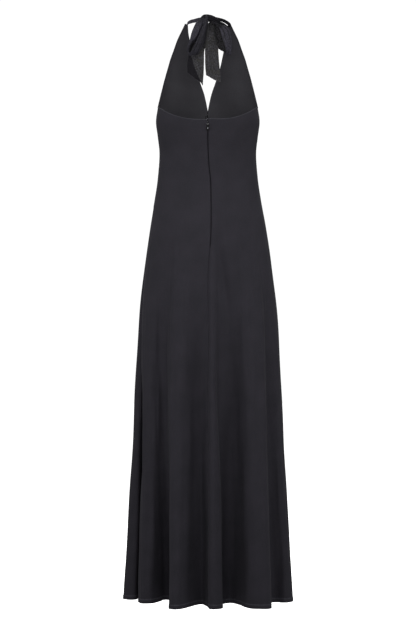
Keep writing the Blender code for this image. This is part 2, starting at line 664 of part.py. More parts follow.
def build_dress():
    for item in list(bpy.data.objects):
        bpy.data.objects.remove(item, do_unlink=True)

    crepe = [make_material("black_crepe_" + name, CREPE_BLACK, 0.85) for name in
             ("back_left", "back_right", "front_left", "front_right")]
    back_panel("back_left", LEFT, 0.0, 90.0, crepe[0])
    back_panel("back_right", RIGHT, 90.0, 180.0, crepe[1])
    front_panel("front_left", LEFT, -90.0, 0.0, crepe[2])
    front_panel("front_right", RIGHT, -180.0, -90.0, crepe[3])

    for name, table, steps, across, clearance, ends_at_knot in (
            ("tie_left", TIE_LEFT, 12, 3, SEAM_GAP, (-1,)),
            ("tie_right", TIE_RIGHT, 12, 3, SEAM_GAP, (-1,)),
            ("bow_loop_left", LOOP_LEFT, 26, 4, SEAM_GAP + TIE_WALL / 2, (0, -1)),
            ("bow_loop_right", LOOP_RIGHT, 24, 4, SEAM_GAP + TIE_WALL / 2, (0, -1)),
            ("bow_tail_left", TAIL_LEFT, 12, 5, SEAM_GAP + TIE_WALL / 4, (0,)),
            ("bow_tail_right", TAIL_RIGHT, 12, 5, SEAM_GAP + TIE_WALL / 4, (0,))):
        strip(name, table, steps, across, clearance, ends_at_knot,
              make_material("black_chiffon_" + name, CHIFFON_BLACK, 0.7))
    knot(make_material("black_chiffon_knot", CHIFFON_BLACK, 0.7))

    zip_chain(make_material("zip_tape", TAPE_BLACK, 0.8))
    zip_slider(make_material("enamelled_slider", ENAMEL_GREY, 0.35, 0.6))
    zip_pull(make_material("enamelled_pull", ENAMEL_GREY, 0.3, 0.6))
    hook_and_eye(make_material("lacquered_wire", LACQUER_BLACK, 0.3, 0.8))


build_dress()
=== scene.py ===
"""Looks of a black halter-neck maxi dress: fine cloth shells, nape bow, back zip, finishes, light and camera.

Frame: metres, +Z up, the front faces -Y, the wearer's left is +X, the origin is where the knotted ties bear
on the nape. The tables and constants are in millimetres, and heights are drops below the nape.
"""

import logging
import math
from dataclasses import dataclass, field
from enum import Enum
from typing import Any, Sequence

import bpy
import numpy as np
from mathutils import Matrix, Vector


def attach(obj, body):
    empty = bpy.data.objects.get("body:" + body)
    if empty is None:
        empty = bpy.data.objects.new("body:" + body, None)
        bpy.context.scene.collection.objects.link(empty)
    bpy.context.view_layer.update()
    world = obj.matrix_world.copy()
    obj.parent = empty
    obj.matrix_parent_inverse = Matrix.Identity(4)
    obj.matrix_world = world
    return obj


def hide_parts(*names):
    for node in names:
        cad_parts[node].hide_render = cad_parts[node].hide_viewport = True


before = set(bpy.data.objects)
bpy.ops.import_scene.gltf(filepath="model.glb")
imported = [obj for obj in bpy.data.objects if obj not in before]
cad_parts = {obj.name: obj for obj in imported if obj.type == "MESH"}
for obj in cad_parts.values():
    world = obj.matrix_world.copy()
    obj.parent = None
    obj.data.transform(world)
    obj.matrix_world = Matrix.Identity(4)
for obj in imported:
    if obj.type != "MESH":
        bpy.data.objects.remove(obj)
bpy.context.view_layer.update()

LOG = logging.getLogger("maxi_dress")
Array = np.ndarray

MM = 0.001
UV_SPAN = 1600.0           # mm of cloth that one unit of a piece's UV map covers
PAINTED_LIGHT_AND_STITCHES = "painted_light_and_stitches"          # point attribute: stitches and a painted rim highlight on the crepe, painted shade of deep folds in the chiffon
CREPE_WALL = 1.0
CHIFFON_WALL = 1.2         # a tie is two layers
SEAM_GAP = 0.3
AXIS_Y = -50.0             # the body's middle lies this far in front of the nape
ROUNDNESS = 0.9
UNDERARM_DROP = 218.2
HEM_DROP = 1479.0
BACK_DIP, BACK_DIP_POWER = 39.3, 2.6       # the back's top edge dips by this at the centre-back seam
FOLDS_FROM_DROP, FOLD_GROWTH = 472.0, 1.45      # where the flutes begin, and the power by which they deepen
GROOVE_GROWTH, GROOVE_SPREAD = 0.75, 9.0   # the groove at the left side seam deepens sooner
CENTRE_BACK_TURN = 90.0    # the centre-back seam's angle on the ring
WANDER_SPREAD = 16.0       # degrees of turn over which its wander fades
ZIP_END_DROP = 584.0
HEM_BAND = 10.0            # depth of the narrow turned hem
HEM_ROLL = 1.7             # the turned edge rolls this far past the solid's
EDGE_BAND = 5.0            # depth of the understitched edges

BUST_X, BUST_DROP, BUST_RISE = 72.0, 254.0, 15.0     # bust point, and how far the cup stands out there
BUST_WIDTH, BUST_HEIGHT = 46.0, 52.0

FIGURE = (
    # drop, half_width, front, back
    (218.2, 126.8, 108.0, 96.0),
    (256.0, 131.8, 110.0, 100.0),
    (292.0, 127.5, 107.0, 97.0),
    (338.0, 122.8, 102.0, 91.0),
    (399.0, 127.0, 101.0, 89.5),
    (460.0, 135.9, 104.0, 96.5),
    (522.0, 147.3, 108.0, 106.0),
    (614.0, 161.2, 115.0, 116.0),
    (737.0, 175.2, 124.0, 126.0),
    (860.0, 183.2, 131.0, 133.0),
    (1044.0, 192.0, 140.0, 142.0),
    (1228.0, 202.0, 150.0, 152.0),
    (1479.0, 216.5, 164.0, 164.0),
)

HALTER = (
    # drop, armhole_x, armhole_y, neckline_x, neckline_y
    (5.0, 57.5, 6.0, 51.0, -3.0),
    (24.0, 67.5, -6.0, 49.8, -20.0),
    (44.0, 77.8, -16.0, 46.0, -38.0),
    (70.0, 87.6, -26.0, 40.5, -58.0),
    (93.0, 95.9, -31.0, 35.5, -72.0),
    (112.0, 101.0, -32.0, 31.0, -82.0),
    (146.0, 110.2, -28.0, 19.5, -97.0),
    (174.0, 117.0, -20.0, 9.5, -103.0),
    (198.0, 122.5, -10.0, 3.8, -106.5),
    (218.2, 126.8, 0.0, 0.0, -108.0),
)

# The hem from above, once round from the right side seam by the front: the angle at which each fold line
# leaves the hip, the place it reaches at the hem from the body's middle, and how far the hem lifts there.
HEM_FOLDS = (
    # turn, x, y, lift
    (-180.0, -216.0, -2.0, 0.0),     # right side seam
    (-164.0, -201.0, -46.0, 0.0),
    (-148.0, -178.0, -82.0, 0.0),    # front flute 1
    (-138.0, -150.0, -88.0, 0.0),
    (-128.0, -128.0, -66.0, 4.0),
    (-121.0, -112.0, -100.0, 2.0),
    (-116.0, -103.0, -142.0, 0.0),   # front flute 2
    (-109.0, -84.0, -163.0, 0.0),
    (-103.0, -60.0, -150.0, 0.0),
    (-98.0, -42.0, -108.0, 2.0),
    (-94.0, -24.0, -82.0, 4.0),
    (-90.0, -2.0, -104.0, 2.0),      # centre-front seam
    (-86.0, 10.0, -146.0, 0.0),      # front flute 3
    (-81.0, 30.0, -166.0, 0.0),
    (-76.0, 48.0, -142.0, 0.0),
    (-72.0, 56.0, -104.0, 2.0),
    (-67.0, 74.0, -78.0, 4.0),
    (-61.0, 92.0, -104.0, 2.0),
    (-56.0, 106.0, -142.0, 0.0),     # front flute 4
    (-49.0, 128.0, -158.0, 0.0),
    (-42.0, 150.0, -140.0, 0.0),
    (-36.0, 162.0, -100.0, 2.0),
    (-29.0, 180.0, -72.0, 3.0),
    (-20.0, 204.0, -60.0, 0.0),      # strip that shows past the left side seam
    (-10.0, 217.0, -34.0, 0.0),
    (-5.0, 203.0, -16.0, 0.0),
    (-2.0, 186.0, -12.0, 1.0),
    (0.0, 177.0, -38.0, 2.0),        # left side seam, deep in its groove
    (4.0, 170.0, -16.0, 1.0),
    (9.0, 175.5, 20.0, 0.0),
    (18.0, 171.0, 50.0, 0.0),        # back flute 1
    (28.0, 157.0, 68.0, 1.0),
    (37.0, 138.0, 66.0, 2.0),
    (44.0, 123.0, 44.0, 4.0),
    (50.0, 113.0, 26.0, 5.0),
    (54.0, 101.0, 23.0, 5.0),
    (56.5, 93.0, 36.0, 4.0),
    (58.0, 90.0, 66.0, 3.0),
    (59.5, 91.0, 102.0, 2.0),
    (61.0, 95.5, 134.0, 1.0),        # back flute 2, its edge folded over the valley
    (63.0, 95.5, 153.0, 0.0),
    (66.0, 86.0, 167.0, 0.0),
    (70.5, 72.0, 165.0, 0.0),
    (74.0, 58.0, 148.0, 0.0),
    (77.5, 45.0, 124.0, 1.0),
    (81.0, 31.0, 100.0, 2.0),
    (85.5, 15.0, 86.0, 2.0),
    (88.0, 5.0, 102.0, 1.0),
    (90.0, -1.5, 132.0, 1.0),        # centre-back seam
    (91.2, -8.0, 156.0, 0.0),        # back flute 3
    (92.8, -19.0, 165.0, 0.0),
    (94.4, -31.0, 156.0, 0.0),
    (95.4, -36.5, 138.0, 0.0),
    (96.4, -35.0, 112.0, 0.0),
    (98.0, -34.5, 85.0, 1.0),
    (101.5, -43.0, 63.0, 1.0),
    (106.5, -57.0, 55.0, 1.0),
    (112.5, -71.0, 66.0, 1.0),
    (116.5, -83.0, 92.0, 1.0),
    (120.0, -94.0, 124.0, 0.0),
    (124.0, -105.0, 148.0, 0.0),     # back flute 4
    (129.5, -122.0, 161.0, 0.0),
    (135.0, -141.0, 160.0, 0.0),
    (138.5, -153.0, 148.0, 0.0),
    (140.0, -157.5, 130.0, 0.0),
    (141.2, -156.0, 106.0, 0.0),
    (142.6, -154.0, 80.0, 0.0),
    (145.0, -158.0, 56.0, 0.0),
    (149.0, -169.0, 42.0, 0.0),
    (155.0, -182.0, 37.0, 0.0),
    (161.0, -196.0, 41.0, 0.0),
    (168.0, -209.0, 31.0, 0.0),
    (174.0, -215.5, 13.0, 0.0),
)

BACK_SEAM_WANDER = (
    # drop, x
    (218.0, 0.0),
    (292.0, 0.0),
    (367.0, -2.4),
    (417.0, -7.4),
    (482.0, -8.4),
    (542.0, -7.6),
    (592.0, -4.6),
    (672.0, -0.6),
    (1479.0, 0.0),
)


class Side(Enum):
    """The wearer's sides, by the sign of X."""

    LEFT = 1.0
    RIGHT = -1.0


class Face(Enum):
    """The front and the back of the dress, by the sign of Y from the body's middle."""

    BACK = 1.0
    FRONT = -1.0


class Seam(Enum):
    """What a panel's long edge is sewn into."""

    SIDE = "side"
    CENTRE_BACK = "centre back"
    CENTRE_FRONT = "centre front"


# Soft creases laid over the flutes: a line down the cloth from its top to its end. Height is how far it
# stands out, and a trough has a height below nought. A line whose end lies at the hem runs out through it.
CREASES = (
    # face, x_top, drop_top, x_end, drop_end, width, height
    (Face.BACK, -17.0, 470.0, -58.0, 800.0, 12.0, -7.0),     # fold that leaves the zip's end to the right
    (Face.BACK, -46.0, 620.0, -58.0, 1300.0, 22.0, -5.5),    # broad hollow to the right of the seam
    (Face.BACK, 32.0, 600.0, 34.0, 1250.0, 24.0, -6.0),      # broad hollow to its left
    (Face.BACK, -9.0, 560.0, -12.0, 1479.0, 8.0, 4.6),       # ridge that carries the seam below the zip
    (Face.BACK, -20.0, 640.0, -34.0, 1180.0, 8.0, -4.0),     # the ridge's right flank, slanting out
    (Face.BACK, 120.0, 620.0, 114.0, 1150.0, 11.0, -6.0),    # beginning of the left-hand valley
    (Face.BACK, 96.0, 620.0, 92.0, 1300.0, 7.0, 4.0),        # the edge beside it
    (Face.BACK, -147.0, 580.0, -169.0, 1479.0, 9.0, -8.0),   # right-hand valley
    (Face.BACK, -130.0, 600.0, -150.0, 1479.0, 8.0, 4.0),    # the edge beside it
    (Face.BACK, -104.0, 640.0, -114.0, 1000.0, 20.0, 2.6),
    (Face.BACK, 173.0, 760.0, 171.0, 1300.0, 4.5, -9.0),     # inside edge of the strip at the left side seam
    (Face.BACK, -70.0, 1050.0, -76.0, 1479.0, 8.0, 1.6),     # small break inside the darkest valley
    (Face.BACK, -125.0, 1120.0, -128.0, 1479.0, 9.0, -1.6),
    (Face.BACK, 60.0, 1100.0, 58.0, 1479.0, 8.0, -1.6),
    (Face.BACK, 150.0, 980.0, 154.0, 1479.0, 9.0, -2.0),
    (Face.FRONT, 24.0, 520.0, 46.0, 800.0, 14.0, -3.8),
    (Face.FRONT, -30.0, 560.0, -44.0, 880.0, 16.0, -3.4),
    (Face.FRONT, 92.0, 640.0, 104.0, 940.0, 15.0, 3.0),
    (Face.FRONT, -96.0, 600.0, -110.0, 900.0, 13.0, -3.0),
    (Face.FRONT, 128.0, 720.0, 140.0, 1080.0, 12.0, -2.6),
    (Face.FRONT, -140.0, 800.0, -150.0, 1200.0, 14.0, 2.4),
    (Face.FRONT, 34.0, 1080.0, 36.0, 1479.0, 9.0, -2.0),
    (Face.FRONT, -74.0, 1130.0, -80.0, 1479.0, 8.0, 1.8),
    (Face.FRONT, 118.0, 214.0, 84.0, 240.0, 5.0, -1.4),      # bust dart, left
    (Face.FRONT, -118.0, 214.0, -84.0, 240.0, 5.0, -1.4),    # bust dart, right
)


# ---------------------------------------------------------------- curves and meshes
def column(table: Sequence[Sequence[Any]], number: int) -> Array:
    """One column of a table as an array."""
    return np.array([row[number] for row in table], dtype=float)


def through(keys: Array, values: Array, at: Array, monotone: bool = False) -> Array:
    """Cubic curve through (keys, values): Hermite pieces whose slopes come from the neighbours.

    Args:
        keys: rising places of the known values.
        values: the known values.
        at: places to read.
        monotone: take the harmonic mean of the chords as slopes, so that the curve never overshoots.

    Returns:
        The curve's value at each place.
    """
    at = np.clip(at, keys[0], keys[-1])
    chords = np.diff(values) / np.diff(keys)
    if monotone:
        before, after = chords[:-1], chords[1:]
        same_way = before * after > 0
        both = np.where(same_way, before + after, 1.0)
        inner = np.where(same_way, 2 * before * after / both, 0.0)
        slopes = np.concatenate(([chords[0]], inner, [chords[-1]]))
    else:
        slopes = np.gradient(values, keys)
    i = np.clip(np.searchsorted(keys, at, side="right") - 1, 0, len(keys) - 2)
    span = keys[i + 1] - keys[i]
    t = (at - keys[i]) / span
    return ((1 + 2 * t) * (1 - t) ** 2 * values[i] + t * (1 - t) ** 2 * span * slopes[i]
            + t * t * (3 - 2 * t) * values[i + 1] + t * t * (t - 1) * span * slopes[i + 1])


def smooth_step(value: Array) -> Array:
    """Rises softly from 0 to 1 as the value goes from 0 to 1: three squares less two cubes."""
    value = np.clip(value, 0.0, 1.0)
    return value * value * (3.0 - 2.0 * value)


def signed_power(value: Array) -> Array:
    """Value to the power of the rings' roundness, with its sign kept."""
    return np.sign(value) * np.abs(value) ** ROUNDNESS


def bell(distance: Array, width: float) -> Array:
    """Gaussian hump of height 1: e to the power of minus the squared distance over the width."""
    return np.exp(-(distance / width) ** 2)


def unit(vectors: Array) -> Array:
    """Vectors at length 1."""
    return vectors / np.maximum(np.linalg.norm(vectors, axis=-1, keepdims=True), 1e-9)


def grid_normal(points: Array) -> Array:
    """Unit normals of a grid whose rows run down and columns run round: down cross round."""
    return unit(np.cross(np.gradient(points, axis=0), np.gradient(points, axis=1)))


def arc_round(points: Array) -> Array:
    """Length from the first column to each point of a grid, along its row."""
    steps = np.linalg.norm(np.diff(points, axis=1), axis=-1)
    return np.concatenate((np.zeros((len(points), 1)), np.cumsum(steps, axis=1)), axis=1)


def link(name: str, mesh: bpy.types.Mesh, materials: Sequence[bpy.types.Material],
         sharp_angle: float = 50.0) -> bpy.types.Object:
    """Puts a mesh into the scene as a smooth-shaded object.

    Args:
        name: the piece's name.
        mesh: its mesh.
        materials: its materials, in slot order.
        sharp_angle: edges that turn by more degrees than this stay sharp.

    Returns:
        The new object, at the origin.
    """
    for material in materials:
        mesh.materials.append(material)
    mesh.shade_smooth()
    mesh.set_sharp_from_angle(angle=math.radians(sharp_angle))
    item = bpy.data.objects.new(name, mesh)
    bpy.context.scene.collection.objects.link(item)
    return item


def quad_mesh(name: str, points: Array, quads: Array) -> bpy.types.Mesh:
    """Mesh of four-sided faces from whole arrays.

    Args:
        name: the mesh's name.
        points: its points in mm, one row each.
        quads: four point numbers for each face.

    Returns:
        The mesh.
    """
    mesh = bpy.data.meshes.new(name)
    mesh.vertices.add(len(points))
    mesh.vertices.foreach_set("co", (points * MM).astype(np.float32).ravel())
    mesh.loops.add(quads.size)
    mesh.loops.foreach_set("vertex_index", quads.astype(np.int32).ravel())
    mesh.polygons.add(len(quads))
    mesh.polygons.foreach_set("loop_start", np.arange(0, quads.size, 4, dtype=np.int32))
    mesh.update(calc_edges=True)
    mesh.validate()
    return mesh


@dataclass(frozen=True)
class Shell:
    """Thin closed wall between two grids of one shape, rows down and columns round.

    The outer faces join each point to its neighbours, the inner faces do so the other way round, and a rim
    joins the two along all four edges. The UV map is laid length for length, so that a weave keeps its scale.
    """

    name: str
    outer: Array
    thickness: float | Array           # one for all, or one for each point
    painted_light_and_stitches: Array | None = None        # 0 to 1: share of the finish's second colour: stitches and painted highlight on crepe, painted shade on chiffon
    reverse_columns: int = 0           # this many columns from the first show the cloth's other side

    def build(self, materials: Sequence[bpy.types.Material]) -> bpy.types.Object:
        """Makes the wall.

        Args:
            materials: the cloth's right side, then its wrong side.

        Returns:
            The piece.
        """
        rows, columns = self.outer.shape[:2]
        inner = self.outer - grid_normal(self.outer) * np.asarray(self.thickness)[..., None]
        number = np.arange(rows * columns).reshape(rows, columns)
        outer_faces = np.stack((number[:-1, :-1], number[1:, :-1], number[1:, 1:], number[:-1, 1:]), -1)
        outer_faces = outer_faces.reshape(-1, 4)
        rim = np.concatenate((number[:, 0], number[-1, 1:], number[-2::-1, -1], number[0, -2:0:-1]))
        following = np.roll(rim, -1)
        far = rows * columns
        rim_faces = np.stack((following, rim, rim + far, following + far), 1)
        faces = np.concatenate((outer_faces, outer_faces[:, ::-1] + far, rim_faces))
        points = np.concatenate((self.outer.reshape(-1, 3), inner.reshape(-1, 3)))
        mesh = quad_mesh(self.name, points, faces)

        turned_back = np.tile(np.arange(columns - 1) < self.reverse_columns, rows - 1)
        slots = np.concatenate((turned_back, ~turned_back, np.zeros(len(rim_faces), dtype=bool)))
        item = link(self.name, mesh, materials)
        mesh.polygons.foreach_set("material_index", slots.astype(np.int32))

        down = np.linalg.norm(np.diff(self.outer, axis=0), axis=-1).mean(axis=1)
        v = np.concatenate(([0.0], np.cumsum(down)))[:, None] + np.zeros((1, columns))
        uv = np.stack((arc_round(self.outer), v), -1).reshape(-1, 2) / UV_SPAN
        loops = faces.ravel() % far
        layer = mesh.uv_layers.new(name="cloth")
        layer.data.foreach_set("uv", uv[loops].astype(np.float32).ravel())
        if self.painted_light_and_stitches is not None:
            values = np.tile(self.painted_light_and_stitches.ravel(), 2).astype(np.float32)
            mesh.attributes.new(PAINTED_LIGHT_AND_STITCHES, "FLOAT", "POINT").data.foreach_set("value", values)
        return item


# ---------------------------------------------------------------- the form of the dress
@dataclass
class HemRing:
    """The fluted hem as a closed curve: u counts the rows of HEM_FOLDS, and goes on past either end."""

    margin: int = 4                    # rows laid on past either end
    fine_steps: int = 4000

    def __post_init__(self) -> None:
        """Lays the table's rows end to end past the join."""
        count = len(HEM_FOLDS)
        index = np.arange(-self.margin, count + self.margin)
        self.keys = index.astype(float)
        self.rows = np.array(HEM_FOLDS)[index % count]
        self.rows[:, 0] += 360.0 * (index // count)

    def turn(self, u: Array) -> Array:
        """Angle at which the fold line leaves the hip."""
        return through(self.keys, self.rows[:, 0], u, monotone=True)

    def place(self, u: Array) -> tuple[Array, Array]:
        """X and Y of the hem from the body's middle."""
        return through(self.keys, self.rows[:, 1], u), through(self.keys, self.rows[:, 2], u)

    def drop(self, u: Array) -> Array:
        """Drop of the hem's edge, the cloth's own less its lift."""
        return HEM_DROP + HEM_ROLL - through(self.keys, self.rows[:, 3], u, monotone=True)

    def columns(self, first_turn: float, last_turn: float, shares: Array) -> Array:
        """u of the lines that part the hem between two seams at the given shares of its length.

        Args:
            first_turn: angle of the first seam.
            last_turn: angle of the last seam.
            shares: rising numbers from 0 to 1.

        Returns:
            u at each share.
        """
        ends = np.interp((first_turn, last_turn), self.rows[:, 0], self.keys)
        fine = np.linspace(ends[0], ends[1], self.fine_steps)
        x, y = self.place(fine)
        length = np.concatenate(([0.0], np.cumsum(np.hypot(np.diff(x), np.diff(y)))))
        return np.interp(shares * length[-1], length, fine)


@dataclass(frozen=True)
class DressForm:
    """The filled-out form of the cloth: rings below the underarm, quarter ovals above it, and its creases."""

    crease_fade: float = 0.45          # share of a crease's length over which it begins, and ends
    crease_overrun: float = 1.2        # its line goes on to this share of its length
    face_blend: float = 60.0           # creases of front and back fade over this depth at the sides
    ripples_from_drop: float = 380.0
    ripple_growth: float = 500.0       # drop over which the ripples reach their height
    ripples: tuple[tuple[int, float, float, float], ...] = (
        # waves once round, waves per mm down, phase, height: shallow unevenness, long down the cloth
        (31, 0.0023, 0.4, 0.45),
        (47, -0.0031, 2.1, 0.32),
        (19, 0.0042, 4.4, 0.50),
        (66, 0.0017, 1.3, 0.18),
    )
    probe_drop: float = 1.0            # slopes are taken over this drop
    probe_u: float = 0.03              # and over this much of the hem's u
    hem: HemRing = field(default_factory=HemRing)

    @staticmethod
    def ring(drop: Array) -> list[Array]:
        """Half width, front depth and back depth of the body at a drop."""
        return [through(column(FIGURE, 0), column(FIGURE, n), drop, monotone=True) for n in (1, 2, 3)]

    @staticmethod
    def bust(x: Array, drop: Array) -> Array:
        """How far the cups stand out: a hump in two directions at each bust point."""
        return BUST_RISE * bell(np.abs(x) - BUST_X, BUST_WIDTH) * bell(drop - BUST_DROP, BUST_HEIGHT)

    def halter(self, turn: Array, drop: Array, side: Side) -> tuple[Array, Array]:
        """X and Y of the halter: a quarter oval from the armhole's edge to the neckline's.

        Args:
            turn: angles on the ring.
            drop: drops below the nape.
            side: the half of the dress.

        Returns:
            X, and Y from the body's middle.
        """
        keys = column(HALTER, 0)
        arm_x, arm_y, neck_x, neck_y = [
            through(keys, column(HALTER, n), drop, monotone=True) for n in (1, 2, 3, 4)]
        quarter = np.radians(-turn if side is Side.LEFT else turn + 180.0)
        across, forward = signed_power(np.cos(quarter)), signed_power(np.sin(quarter))
        x = neck_x + (arm_x - neck_x) * across
        y = arm_y + (neck_y - arm_y) * forward
        return side.value * x, y - self.bust(x, drop) * forward

    def body(self, turn: Array, drop: Array, u: Array) -> tuple[Array, Array]:
        """X and Y below the underarm: the smooth ring, moved towards the fluted hem as the cloth falls.

        The ring is an oval with its cosine and sine raised to a power. The move is the difference between the
        hem's place and the smooth ring there, times the share of the fall raised to a power.

        Args:
            turn: angles on the ring.
            drop: drops below the nape.
            u: places along the hem.

        Returns:
            X, and Y from the body's middle.
        """
        half_width, front, back = self.ring(drop)
        hem_half_width, hem_front, hem_back = self.ring(np.array(HEM_DROP))
        across = signed_power(np.cos(np.radians(turn)))
        around = signed_power(np.sin(np.radians(turn)))
        x = half_width * across
        y = np.where(around < 0, front, back) * around
        y = y + np.where(around < 0, self.bust(x, drop) * around, 0.0)
        wander = through(column(BACK_SEAM_WANDER, 0), column(BACK_SEAM_WANDER, 1), drop, monotone=True)
        x = x + wander * bell(turn - CENTRE_BACK_TURN, WANDER_SPREAD)
        fall = np.clip((drop - FOLDS_FROM_DROP) / (HEM_DROP - FOLDS_FROM_DROP), 0.0, 1.0)
        share = fall ** (FOLD_GROWTH + (GROOVE_GROWTH - FOLD_GROWTH) * bell(turn, GROOVE_SPREAD))
        hem_x, hem_y = self.hem.place(u)
        hem_depth = np.where(around < 0, hem_front, hem_back)
        return x + share * (hem_x - hem_half_width * across), y + share * (hem_y - hem_depth * around)

    def points(self, u: Array, drop: Array, side: Side) -> Array:
        """Points of the form in mm: the halter above the underarm, the body below it.

        Args:
            u: places along the hem.
            drop: drops below the nape.
            side: the half of the dress.

        Returns:
            The points.
        """
        turn = self.hem.turn(u)
        halter_x, halter_y = self.halter(turn, np.minimum(drop, UNDERARM_DROP), side)
        body_x, body_y = self.body(turn, np.maximum(drop, UNDERARM_DROP), u)
        above = drop < UNDERARM_DROP
        y = np.where(above, halter_y, body_y) + AXIS_Y
        return np.stack((np.where(above, halter_x, body_x), y, -drop), -1)

    def crease_height(self, points: Array) -> Array:
        """Sum of the creases: each a hump across its line, faded at its ends and on the other face.

        Args:
            points: points of the smooth form, mm.

        Returns:
            The height at each point.
        """
        x, y, drop = points[..., 0], points[..., 1] - AXIS_Y, -points[..., 2]
        total = np.zeros_like(x)
        for face, x_top, drop_top, x_end, drop_end, width, height in CREASES:
            along = (drop - drop_top) / (drop_end - drop_top)
            fade_in = smooth_step(along / self.crease_fade)
            fade_out = 1.0 if drop_end >= HEM_DROP else smooth_step((1.0 - along) / self.crease_fade)
            line = x_top + (x_end - x_top) * np.clip(along, 0.0, self.crease_overrun)
            this_face = smooth_step(0.5 + face.value * y / self.face_blend)
            total += height * fade_in * fade_out * this_face * bell(x - line, width)
        return total

    def ripple_height(self, turn: Array, drop: Array) -> Array:
        """Sum of long shallow sine waves, stronger towards the hem.

        A whole number of waves goes once round, so that they meet at the seams.

        Args:
            turn: angles on the ring.
            drop: drops below the nape.

        Returns:
            The height at each point.
        """
        total = np.zeros_like(drop)
        for waves, down_rate, phase, height in self.ripples:
            total += height * np.sin(2 * np.pi * (waves * turn / 360.0 + down_rate * drop) + phase)
        return total * smooth_step((drop - self.ripples_from_drop) / self.ripple_growth)

    def way_down(self, u: Array, drop: Array, side: Side) -> Array:
        """Steps down the smooth form at the given places."""
        return self.points(u, drop + self.probe_drop, side) - self.points(u, drop - self.probe_drop, side)

    def normals(self, u: Array, drop: Array, side: Side) -> Array:
        """Outward unit normals of the smooth form, from its slopes down and round."""
        around = self.points(u + self.probe_u, drop, side) - self.points(u - self.probe_u, drop, side)
        return unit(np.cross(self.way_down(u, drop, side), around))


